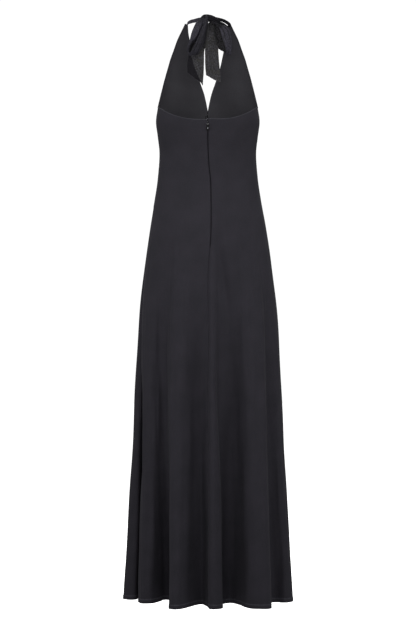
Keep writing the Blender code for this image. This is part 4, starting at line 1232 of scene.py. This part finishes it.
# ---------------------------------------------------------------- the closure
@dataclass(frozen=True)
class BackZip:
    """The concealed zip's tape and coil, and the metal of its slider, pull tab, hook and eye. Sizes in mm."""

    chain_start: float = 7.5
    tape_width: float = 20.0
    tape_wall: float = 0.5
    tape_end: float = 2.0              # bare tape above and below the coil
    tooth_pitch: float = 1.4
    tooth_size: tuple[float, float, float] = (2.4, 1.0, 0.8)      # across, out of the tape, along
    tooth_offset: float = 0.28         # share of its width by which a tooth stands to one side
    tooth_clearance: float = 0.05
    dome_drop: float = 279.8           # middle of the raised drop on the pull tab
    dome_size: tuple[float, float, float] = (1.2, 2.3, 0.9)       # half width, half length, height
    dome_wall: float = 0.25
    dome_sink: float = 0.3             # its edge lies this far inside the tab's face

    slider_rounding: float = 0.35
    tab_rounding: float = 0.2
    sharp_from_angle: float = 40.0     # degrees: sharper edges are rounded over
    weld_distance: float = 0.00001     # metres

    loops: tuple[Roll, ...] = (
        # thread-wrapped wire at the top of the opening: the eye's bow, then the hook's shank behind it
        Roll(((5.8, 46.5, -263.0, 0.8, 0.8), (5.9, 48.5, -256.0, 0.8, 0.8), (5.3, 49.0, -251.0, 0.8, 0.8),
              (3.3, 49.0, -249.2, 0.7, 0.7), (1.3, 49.0, -251.0, 0.8, 0.8), (0.6, 48.5, -256.0, 0.8, 0.8),
              (0.6, 46.5, -263.0, 0.8, 0.8)), pleats=2, pleat_depth=0.1, steps=80, sides=16),
        Roll(((0.4, 46.0, -256.0, 0.8, 0.8), (0.6, 47.0, -249.0, 0.8, 0.8), (0.9, 47.0, -243.0, 0.7, 0.7),
              (1.2, 46.5, -239.5, 0.6, 0.6)), pleats=2, pleat_depth=0.1, steps=40, sides=16),
    )
    bill: Roll = Roll(((3.2, 48.6, -256.2, 0.7, 0.8), (3.2, 49.6, -258.0, 0.8, 0.8),
                       (3.2, 49.0, -259.8, 0.7, 0.8)), pleats=2, pleat_depth=0.0, steps=20, sides=16)

    tape_rows: int = 90
    tape_columns: int = 17
    dome_rings: int = 9
    dome_spokes: int = 33
    seam_probe: float = 0.05           # the hem's u over which the way round is taken
    near_dome: float = 3.0             # the tab's face is looked for this near to the dome's middle

    def against_back(self, form: DressForm, x: Array, drop: Array,
                     depth: Array | float) -> tuple[Array, Array, Array]:
        """Places inside the back, and the ways down and out there.

        Args:
            form: the form of the dress.
            x: distances from the centre-back seam, to the wearer's left.
            drop: drops below the nape.
            depth: depths below the cloth's face.

        Returns:
            The points, the way down and the outward normal.
        """
        x, drop = np.broadcast_arrays(x, drop)
        seam = np.full(drop.shape, np.interp(CENTRE_BACK_TURN, form.hem.rows[:, 0], form.hem.keys))
        probe = self.seam_probe
        step = form.points(seam + probe, drop, Side.LEFT) - form.points(seam - probe, drop, Side.LEFT)
        u = seam - 2 * probe * x / np.linalg.norm(step, axis=-1)
        normal = form.normals(u, drop, Side.LEFT)
        down = unit(form.way_down(u, drop, Side.LEFT))
        return form.points(u, drop, Side.LEFT) - normal * depth, down, normal

    def teeth(self, form: DressForm, start: float, depth: float) -> bpy.types.Mesh:
        """The closed coil as one small block at each pitch, to either side in turn.

        Args:
            form: the form of the dress.
            start: drop of the chain's upper end.
            depth: depth of the tape's outer face below the cloth's.

        Returns:
            The mesh.
        """
        drops = np.arange(start + self.tape_end, ZIP_END_DROP - self.tape_end, self.tooth_pitch)
        wide, deep, tall = self.tooth_size
        x = np.where(np.arange(len(drops)) % 2 == 0, -1.0, 1.0) * wide * self.tooth_offset
        middle = depth + self.tape_wall + deep / 2 + self.tooth_clearance
        centre, down, normal = self.against_back(form, x, drops, middle)
        corner = np.array([(a, b, c) for a in (-0.5, 0.5) for b in (-0.5, 0.5) for c in (-0.5, 0.5)])
        points = (centre[:, None] + np.cross(normal, down)[:, None] * (corner[:, :1] * wide)
                  + normal[:, None] * (corner[:, 1:2] * deep) + down[:, None] * (corner[:, 2:] * tall))
        block = np.array(((0, 1, 3, 2), (4, 6, 7, 5), (0, 4, 5, 1), (2, 3, 7, 6), (0, 2, 6, 4), (1, 5, 7, 3)))
        quads = (np.arange(len(drops))[:, None, None] * len(corner) + block[None]).reshape(-1, 4)
        return quad_mesh("zip_coil", points.reshape(-1, 3), quads)

    def chain(self, form: DressForm, tape: bpy.types.Material, coil: bpy.types.Material) -> bpy.types.Object:
        """Makes the tape inside the back, clear of the pressed allowances, and the coil on its inner side.

        Args:
            form: the form of the dress.
            tape: the tape's finish.
            coil: the coil's finish.

        Returns:
            The piece.
        """
        start = UNDERARM_DROP + BACK_DIP + self.chain_start
        depth = Panel.zip_depth + CREPE_WALL + Panel.allowance_wall + SEAM_GAP
        x = np.linspace(self.tape_width / 2, -self.tape_width / 2, self.tape_columns)
        drops = np.linspace(start, ZIP_END_DROP, self.tape_rows)[:, None]
        band, _, _ = self.against_back(form, x, drops, depth)
        strip = Shell("zip_tape", band, self.tape_wall).build((tape, tape))
        piece = joined("zip_chain_fine", [strip, link("zip_coil", self.teeth(form, start, depth), (coil,))])
        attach(piece, "dress")
        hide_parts("zip_chain")
        return piece

    def polished(self, node: str, body: str, width: float, material: bpy.types.Material) -> bpy.types.Object:
        """A copy of a metal node with its corners merged and rounded over.

        Args:
            node: the solid to copy.
            body: what the piece rides on.
            width: radius of the rounding, mm.
            material: its enamel.

        Returns:
            The piece.
        """
        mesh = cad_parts[node].data.copy()
        mesh.materials.clear()
        item = link(node + "_polished", mesh, (material,), sharp_angle=60.0)
        weld = item.modifiers.new("weld", "WELD")
        weld.merge_threshold = self.weld_distance
        bevel = item.modifiers.new("edges", "BEVEL")
        bevel.width = width * MM
        bevel.segments = 2
        bevel.limit_method = "ANGLE"
        bevel.angle_limit = math.radians(self.sharp_from_angle)
        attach(item, body)
        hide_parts(node)
        return item

    def dome(self, material: bpy.types.Material) -> bpy.types.Object:
        """Makes the raised drop stamped into the pull tab: its height is 1 less the radius's share squared.

        Args:
            material: its finish.

        Returns:
            The piece.
        """
        tab = np.array([tuple(vertex.co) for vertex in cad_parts["zip_pull"].data.vertices]) / MM
        middle = (tab[:, 0].min() + tab[:, 0].max()) / 2
        face = tab[np.abs(tab[:, 2] + self.dome_drop) < self.near_dome, 1].max()
        half_width, half_length, rise = self.dome_size
        radius = np.linspace(0.0, 1.0, self.dome_rings)[:, None]
        angle = np.linspace(0.0, 2 * np.pi, self.dome_spokes)[None, :]
        x = middle - half_width * radius * np.cos(angle)
        z = -self.dome_drop + half_length * radius * np.sin(angle)
        y = face - self.dome_sink + rise * (1.0 - radius ** 2) + np.zeros_like(angle)
        item = Shell("zip_pull_dome", np.stack((x, y, z), -1), self.dome_wall).build((material, material))
        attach(item, "pull")
        return item

    def build(self, form: DressForm, finishes: "Wardrobe") -> list[bpy.types.Object]:
        """Makes the zip and the fasteners' wound wire, and dresses the fasteners' own solids.

        Args:
            form: the form of the dress.
            finishes: the dress's finishes.

        Returns:
            The pieces made.
        """
        pieces = [self.chain(form, finishes.tape, finishes.coil),
                  self.dome(finishes.worn_metal),
                  self.polished("zip_slider", "dress", self.slider_rounding, finishes.slider_enamel),
                  self.polished("zip_pull", "pull", self.tab_rounding, finishes.enamel)]
        wires = [link("wire_loop", roll.mesh("wire_loop"), (finishes.tape,)) for roll in self.loops]
        wires.append(link("hook_bill", self.bill.mesh("hook_bill"), (finishes.worn_metal,)))
        fasteners = joined("hook_and_eye_wire", wires)
        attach(fasteners, "dress")
        for node in ("hook", "eye"):
            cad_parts[node].data.materials.clear()
            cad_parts[node].data.materials.append(finishes.wire)
        return [*pieces, fasteners]


# ---------------------------------------------------------------- finishes
VALUE_A, VALUE_B = 2, 3                # a Mix node's sockets for numbers
COLOUR_A, COLOUR_B = 6, 7              # and for colours


def linear(hex_colour: str) -> tuple[float, float, float, float]:
    """Turns an sRGB hex colour to linear by the sRGB curve.

    Args:
        hex_colour: such as #2a2a2e.

    Returns:
        Linear RGBA.
    """
    channels = [int(hex_colour[i:i + 2], 16) / 255.0 for i in (1, 3, 5)]
    curve = [c / 12.92 if c <= 0.04045 else ((c + 0.055) / 1.055) ** 2.4 for c in channels]
    return (*curve, 1.0)


def set_inputs(tree: bpy.types.NodeTree, node: bpy.types.Node, inputs: dict[Any, Any]) -> None:
    """Sets sockets of a node to values, or links them.

    Args:
        tree: the node's tree.
        node: the node.
        inputs: for a socket's name or number, a value or the output socket that feeds it.
    """
    for name, value in inputs.items():
        if isinstance(value, bpy.types.NodeSocket):
            tree.links.new(value, node.inputs[name])
        else:
            node.inputs[name].default_value = value


def add_node(tree: bpy.types.NodeTree, kind: str, inputs: dict[Any, Any] | None = None,
             **settings: Any) -> bpy.types.Node:
    """Adds one shader node.

    Args:
        tree: the material's or world's tree.
        kind: the node's type.
        inputs: its values and links, as set_inputs takes them.
        settings: the node's own properties.

    Returns:
        The node.
    """
    node = tree.nodes.new(kind)
    for name, value in settings.items():
        setattr(node, name, value)
    set_inputs(tree, node, inputs or {})
    return node


def new_tree(name: str) -> tuple[bpy.types.Material, bpy.types.NodeTree, bpy.types.Node]:
    """Makes a material of nodes.

    Args:
        name: its name.

    Returns:
        The material, its tree and its Principled shader.
    """
    material = bpy.data.materials.new(name)
    material.use_nodes = True
    return material, material.node_tree, material.node_tree.nodes["Principled BSDF"]


@dataclass(frozen=True)
class Cloth:
    """A cloth dyed black: two shades of the dye, the relief of its yarn, and what little gloss and sheen."""

    name: str
    dark: str
    light: str
    bump_mm: float = 0.4
    bump_strength: float = 0.25
    roughness: float = 0.82
    specular: float = 0.10
    sheen: float = 0.04
    sheen_roughness: float = 0.5
    sheen_tint: str = "#c8c8d2"

    def dyed(self, tree: bpy.types.NodeTree, pattern: bpy.types.NodeSocket, darkest: float,
             lightest: float) -> bpy.types.NodeSocket:
        """Colour of the cloth: the pattern's values between the two given run from dark to light.

        Args:
            tree: the material's tree.
            pattern: the pattern.
            darkest: its value where the cloth is dark.
            lightest: its value where the cloth is light.

        Returns:
            The colour.
        """
        spread = add_node(tree, "ShaderNodeMapRange", {"Value": pattern, "From Min": darkest,
                                                       "From Max": lightest})
        dye = add_node(tree, "ShaderNodeMix", {"Factor": spread.outputs["Result"],
                                               COLOUR_A: linear(self.dark), COLOUR_B: linear(self.light)},
                       data_type="RGBA")
        return dye.outputs[2]

    def finish(self, tree: bpy.types.NodeTree, shader: bpy.types.Node, colour: bpy.types.NodeSocket,
               painted_light_and_stitches: str, height: bpy.types.NodeSocket) -> None:
        """Completes the material: stitches and painted light over the colour, the relief, the gloss and the
        sheen.

        Args:
            tree: the material's tree.
            shader: its shader.
            colour: the cloth's colour.
            painted_light_and_stitches: colour that the attribute brings in, sRGB hex: stitches and painted
                light.
            height: the relief's pattern.
        """
        share = add_node(tree, "ShaderNodeAttribute", attribute_name=PAINTED_LIGHT_AND_STITCHES)
        with_painted_light_and_stitches = add_node(tree, "ShaderNodeMix", {"Factor": share.outputs["Fac"], COLOUR_A: colour,
                                                    COLOUR_B: linear(painted_light_and_stitches)}, data_type="RGBA")
        bump = add_node(tree, "ShaderNodeBump", {"Height": height, "Strength": self.bump_strength,
                                                 "Distance": self.bump_mm * MM})
        set_inputs(tree, shader, {
            "Base Color": with_painted_light_and_stitches.outputs[2], "Normal": bump.outputs["Normal"], "Roughness": self.roughness,
            "Specular IOR Level": self.specular, "Sheen Weight": self.sheen,
            "Sheen Roughness": self.sheen_roughness, "Sheen Tint": linear(self.sheen_tint)})


@dataclass(frozen=True)
class Crepe(Cloth):
    """Polyester crepe, piece-dyed black: hard-twisted yarn gives a matt pebbled face with hardly a sheen."""

    # lighter than the cloth: the stitches' thread, and a painted highlight along the top edge's rim and where
    # the hem's stitch line catches the light
    thread_and_painted_highlight: str = "#434349"
    pebble_mm: float = 2.6             # real pebbles are under 1 mm: drawn coarser so that the grain shows
    cloud_mm: float = 55.0             # slow unevenness of the dye
    cloud_share: float = 0.45          # of the two patterns together
    spread: tuple[float, float] = (0.36, 0.64)         # the pattern's values that run from dark to light

    def material(self) -> bpy.types.Material:
        """Makes the crepe: pebble grain and dye clouds on the piece's own UV map, lighter stitches and
        painted rim highlight.

        Returns:
            The material.
        """
        material, tree, shader = new_tree(self.name)
        uv = add_node(tree, "ShaderNodeUVMap", uv_map="cloth").outputs["UV"]
        grain, cloud = [
            add_node(tree, "ShaderNodeTexNoise", {"Vector": uv, "Scale": UV_SPAN / size, "Detail": detail})
            for size, detail in ((self.pebble_mm, 2.0), (self.cloud_mm, 3.0))]
        both = add_node(tree, "ShaderNodeMix", {"Factor": self.cloud_share, VALUE_A: grain.outputs["Fac"],
                                                VALUE_B: cloud.outputs["Fac"]})
        colour = self.dyed(tree, both.outputs[0], *self.spread)
        self.finish(tree, shader, colour, self.thread_and_painted_highlight, grain.outputs["Fac"])
        return material


@dataclass(frozen=True)
class Chiffon(Cloth):
    """Crinkle chiffon, doubled: open hard-spun yarn, speckled, a little violet and lighter than the crepe."""

    bump_mm: float = 0.6
    bump_strength: float = 0.5
    roughness: float = 0.7
    specular: float = 0.25
    sheen: float = 0.12
    sheen_roughness: float = 0.4
    sheen_tint: str = "#c8c4d8"
    tint: str = "#282723"
    deep: str = "#020203"              # painted shade: the colour that the folds' painted shade darkens the chiffon towards
    speckle_mm: float = 3.2            # real crinkle is about 1 mm: drawn coarser so that the speckle shows
    speckle_roughness: float = 0.65
    patch_size: float = 3.0            # tinted patches are this many times as coarse
    contrast: float = 0.10             # the speckle's values this far either side of 0.5 run dark to light
    mottle: tuple[float, float, float] = (0.48, 0.66, 0.6)       # patches begin, are full, and how full

    def material(self) -> bpy.types.Material:
        """Makes the chiffon: speckle on Object coordinates, tinted patches, and painted shade in deep folds.

        Returns:
            The material.
        """
        material, tree, shader = new_tree(self.name)
        place = add_node(tree, "ShaderNodeTexCoord").outputs["Object"]
        scale = 1.0 / (self.speckle_mm * MM)
        speckle = add_node(tree, "ShaderNodeTexNoise", {
            "Vector": place, "Scale": scale, "Detail": 3.0,
            "Roughness": self.speckle_roughness}).outputs["Fac"]
        patch = add_node(tree, "ShaderNodeTexNoise", {"Vector": place, "Scale": scale / self.patch_size,
                                                      "Detail": 2.0})
        yarn = self.dyed(tree, speckle, 0.5 - self.contrast, 0.5 + self.contrast)
        begin, full, share = self.mottle
        mottle = add_node(tree, "ShaderNodeMapRange", {"Value": patch.outputs["Fac"], "From Min": begin,
                                                       "From Max": full, "To Max": share})
        tinted = add_node(tree, "ShaderNodeMix", {"Factor": mottle.outputs["Result"], COLOUR_A: yarn,
                                                  COLOUR_B: linear(self.tint)}, data_type="RGBA")
        self.finish(tree, shader, tinted.outputs[2], self.deep, speckle)
        return material


@dataclass(frozen=True)
class Hard:
    """A small plain finish: tape, nylon coil, enamel or lacquered wire, finely worn in colour and gloss."""

    name: str
    dark: str
    light: str
    roughness: tuple[float, float]
    metallic: float = 0.0
    coat: float = 0.0
    coat_roughness: float = 0.12
    specular: float = 0.3
    grain_mm: float = 0.6

    def material(self) -> bpy.types.Material:
        """Makes the finish: a fine grain on Object coordinates drives the colour and the roughness.

        Returns:
            The material.
        """
        material, tree, shader = new_tree(self.name)
        place = add_node(tree, "ShaderNodeTexCoord").outputs["Object"]
        grain = add_node(tree, "ShaderNodeTexNoise", {"Vector": place, "Detail": 3.0,
                                                      "Scale": 1.0 / (self.grain_mm * MM)}).outputs["Fac"]
        colour = add_node(tree, "ShaderNodeMix", {"Factor": grain, COLOUR_A: linear(self.dark),
                                                  COLOUR_B: linear(self.light)}, data_type="RGBA")
        gloss = add_node(tree, "ShaderNodeMapRange", {"Value": grain, "To Min": self.roughness[0],
                                                      "To Max": self.roughness[1]})
        set_inputs(tree, shader, {
            "Base Color": colour.outputs[2], "Roughness": gloss.outputs["Result"],
            "Metallic": self.metallic, "Specular IOR Level": self.specular,
            "Coat Weight": self.coat, "Coat Roughness": self.coat_roughness})
        return material


class Wardrobe:
    """Every finish of the dress, made once."""

    def __init__(self) -> None:
        """Makes the materials."""
        self.crepe = Crepe("black_crepe_right_side", "#26252a", "#2d2b31").material()
        # wrong side: lighter than the right side, partly its own tone and partly painted light for the
        # inside, which the lamps reach less
        self.crepe_inside_painted_light = Crepe("black_crepe_wrong_side_painted_light", "#3b3a3e", "#444347", sheen=0.03).material()
        self.chiffon = {look: chiffon.material() for look, chiffon in {
            Look.GRAINY: Chiffon("black_chiffon_crinkled", "#0c0b0d", "#363539"),
            Look.SMOOTH: Chiffon("black_chiffon_smooth_side", "#16151a", "#393742", tint="#282730",
                                 contrast=0.16),
            # painted shade: darker copies of the chiffon for cloth out of the light and in the knot
            Look.SHADED: Chiffon("black_chiffon_wrong_side_painted_shade", "#0a090c", "#17151b", tint="#110f14",
                                 contrast=0.2, sheen=0.04, specular=0.12),
            # painted shade: darker for the knot's gathers
            Look.GATHERED_PAINTED_SHADE: Chiffon("black_chiffon_gathered_painted_shade", "#0c0c10", "#201e26", tint="#17151b",
                                   sheen=0.08),
        }.items()}
        # close-knit yarn: dull, with no highlight
        self.tape = Hard("knitted_polyester_tape", "#070708", "#0f0f10", (0.8, 0.95),
                         specular=0.06).material()
        # drawn smooth: a faint line of light on each tooth
        self.coil = Hard("nylon_coil", "#080809", "#121213", (0.35, 0.5), specular=0.15).material()
        # baked on and satin: near black
        self.enamel = Hard("gunmetal_enamel", "#09090a", "#121214", (0.4, 0.55), specular=0.1).material()
        # handled most and so rubbed glossy: small bright highlights
        self.slider_enamel = Hard("gunmetal_enamel_slider", "#0e0e10", "#19191c", (0.2, 0.3),
                                  metallic=0.3, coat=0.4).material()
        # rubbed through on what stands proud: the one light spot
        self.worn_metal = Hard("worn_gunmetal", "#707076", "#8a8a90", (0.22, 0.3), metallic=0.9).material()
        # dipped in lacquer: dark, with a thin highlight
        self.wire = Hard("lacquered_steel_wire", "#070708", "#101012", (0.3, 0.45), metallic=0.3).material()


# ---------------------------------------------------------------- the studio
@dataclass(frozen=True)
class Softbox:
    """One rectangular soft light. Places are metres in the dress's frame, the power is in watts."""

    name: str
    place: tuple[float, float, float]
    aim: tuple[float, float, float]
    size: tuple[float, float]
    power: float

    def build(self) -> None:
        """Makes the lamp and turns it to its aim."""
        data = bpy.data.lights.new(self.name, "AREA")
        data.shape = "RECTANGLE"
        data.size, data.size_y = self.size
        data.energy = self.power
        lamp = bpy.data.objects.new(self.name, data)
        lamp.location = self.place
        lamp.rotation_euler = (Vector(self.aim) - Vector(self.place)).to_track_quat("-Z", "Y").to_euler()
        lamp.visible_camera = False
        bpy.context.scene.collection.objects.link(lamp)


@dataclass(frozen=True)
class Studio:
    """White seamless paper, soft boxes and the camera square to the dress's back."""

    floor_drop: float = 1.56
    floor_radius: float = 14.0
    floor_sides: int = 96
    camera_distance: float = 5.6       # from the plane of the body's middle
    eye_drop: float = 0.742
    eye_shift: float = -0.0005
    frame_height: float = 1.59744      # metres that the frame covers upright at that plane
    sensor: float = 36.0
    ambient: float = 0.26
    paper_glow: float = 1.0
    seen_white: float = 1.05           # the room as the camera sees it

    lights: tuple[Softbox, ...] = (
        Softbox("key_above", (0.0, 1.2, 3.4), (0.0, 0.0, -0.6), (1.6, 1.2), 83.0),
        Softbox("left_bank", (1.9, 0.9, -0.35), (0.0, 0.0, -0.55), (0.7, 1.2), 12.6),
        Softbox("right_bank", (-1.9, 0.9, -0.35), (0.0, 0.0, -0.55), (0.7, 1.2), 11.6),
        Softbox("hip_fill", (0.0, 1.1, -0.64), (0.0, 0.0, -0.64), (1.0, 0.5), 1.4),
        Softbox("bust_fill", (0.0, 1.6, -0.16), (0.0, 0.0, -0.28), (1.6, 0.26), 10.2),
        Softbox("front_fill", (0.0, -3.0, 1.4), (0.0, 0.0, -0.6), (2.6, 2.0), 90.0),
    )

    def floor(self) -> None:
        """The paper: a wide disc that glows a little, so that it stays white to its edge."""
        angle = np.linspace(0.0, 2 * np.pi, self.floor_sides, endpoint=False)
        ring = np.stack((np.cos(angle), np.sin(angle), np.zeros_like(angle)), -1) * self.floor_radius
        mesh = bpy.data.meshes.new("paper_floor")
        mesh.from_pydata((ring + (0.0, 0.0, -self.floor_drop)).tolist(), [], [tuple(range(len(ring)))])
        material, tree, shader = new_tree("white_seamless_paper")
        set_inputs(tree, shader, {"Base Color": linear("#f2f2f2"), "Roughness": 0.9,
                                  "Emission Color": linear("#ffffff"), "Emission Strength": self.paper_glow})
        item = link("paper_floor", mesh, (material,))
        item.visible_diffuse = False
        item.visible_glossy = False

    def world(self) -> None:
        """White all round for the eye, and a weaker white as light."""
        world = bpy.data.worlds.new("white_room")
        world.use_nodes = True
        tree = world.node_tree
        tree.nodes.clear()
        ray = add_node(tree, "ShaderNodeLightPath").outputs["Is Camera Ray"]
        light, seen = [
            add_node(tree, "ShaderNodeBackground", {"Color": linear("#ffffff"), "Strength": strength})
            for strength in (self.ambient, self.seen_white)]
        mix = add_node(tree, "ShaderNodeMixShader", {0: ray, 1: light.outputs[0], 2: seen.outputs[0]})
        add_node(tree, "ShaderNodeOutputWorld", {"Surface": mix.outputs[0]})
        bpy.context.scene.world = world

    def camera(self) -> None:
        """The camera, level and square to the back."""
        data = bpy.data.cameras.new("camera")
        data.sensor_fit = "VERTICAL"
        data.sensor_height = self.sensor
        data.lens = self.sensor * self.camera_distance / self.frame_height
        data.clip_end = 100.0
        camera = bpy.data.objects.new("camera", data)
        camera.location = (self.eye_shift, AXIS_Y * MM + self.camera_distance, -self.eye_drop)
        camera.rotation_euler = (math.radians(90.0), 0.0, math.radians(180.0))
        bpy.context.scene.collection.objects.link(camera)
        bpy.context.scene.camera = camera

    def build(self) -> None:
        """Sets up floor, world, lights, camera and the plain display transform."""
        self.camera()
        self.floor()
        self.world()
        for light in self.lights:
            light.build()
        bpy.context.scene.view_settings.view_transform = "Standard"
        bpy.context.scene.view_settings.look = "None"


PANELS = (
    Panel("back_left", Side.LEFT, 0.0, CENTRE_BACK_TURN, Seam.SIDE, Seam.CENTRE_BACK, (0.54, 1.30), 0.39),
    Panel("back_right", Side.RIGHT, CENTRE_BACK_TURN, 180.0, Seam.CENTRE_BACK, Seam.SIDE, (0.54, 1.30), 0.39),
    Panel("front_left", Side.LEFT, -90.0, 0.0, Seam.CENTRE_FRONT, Seam.SIDE, (0.53, 1.54), 0.42,
          columns=136),
    Panel("front_right", Side.RIGHT, -180.0, -90.0, Seam.SIDE, Seam.CENTRE_FRONT, (0.53, 1.54), 0.42,
          columns=136),
)


def main() -> None:
    """Builds the dress on the frame and reports its pieces, then builds the studio."""
    logging.basicConfig(level=logging.INFO, format="%(name)s: %(message)s")
    form = DressForm()
    finishes = Wardrobe()
    pieces = [panel.build(form, (finishes.crepe, finishes.crepe_inside_painted_light)) for panel in PANELS]
    pieces += Bow().build(finishes)
    pieces += BackZip().build(form, finishes)
    for piece in pieces:
        LOG.info("%s: %d faces", piece.name, len(piece.data.polygons))
    Studio().build()


if __name__ == "__main__":
    main()
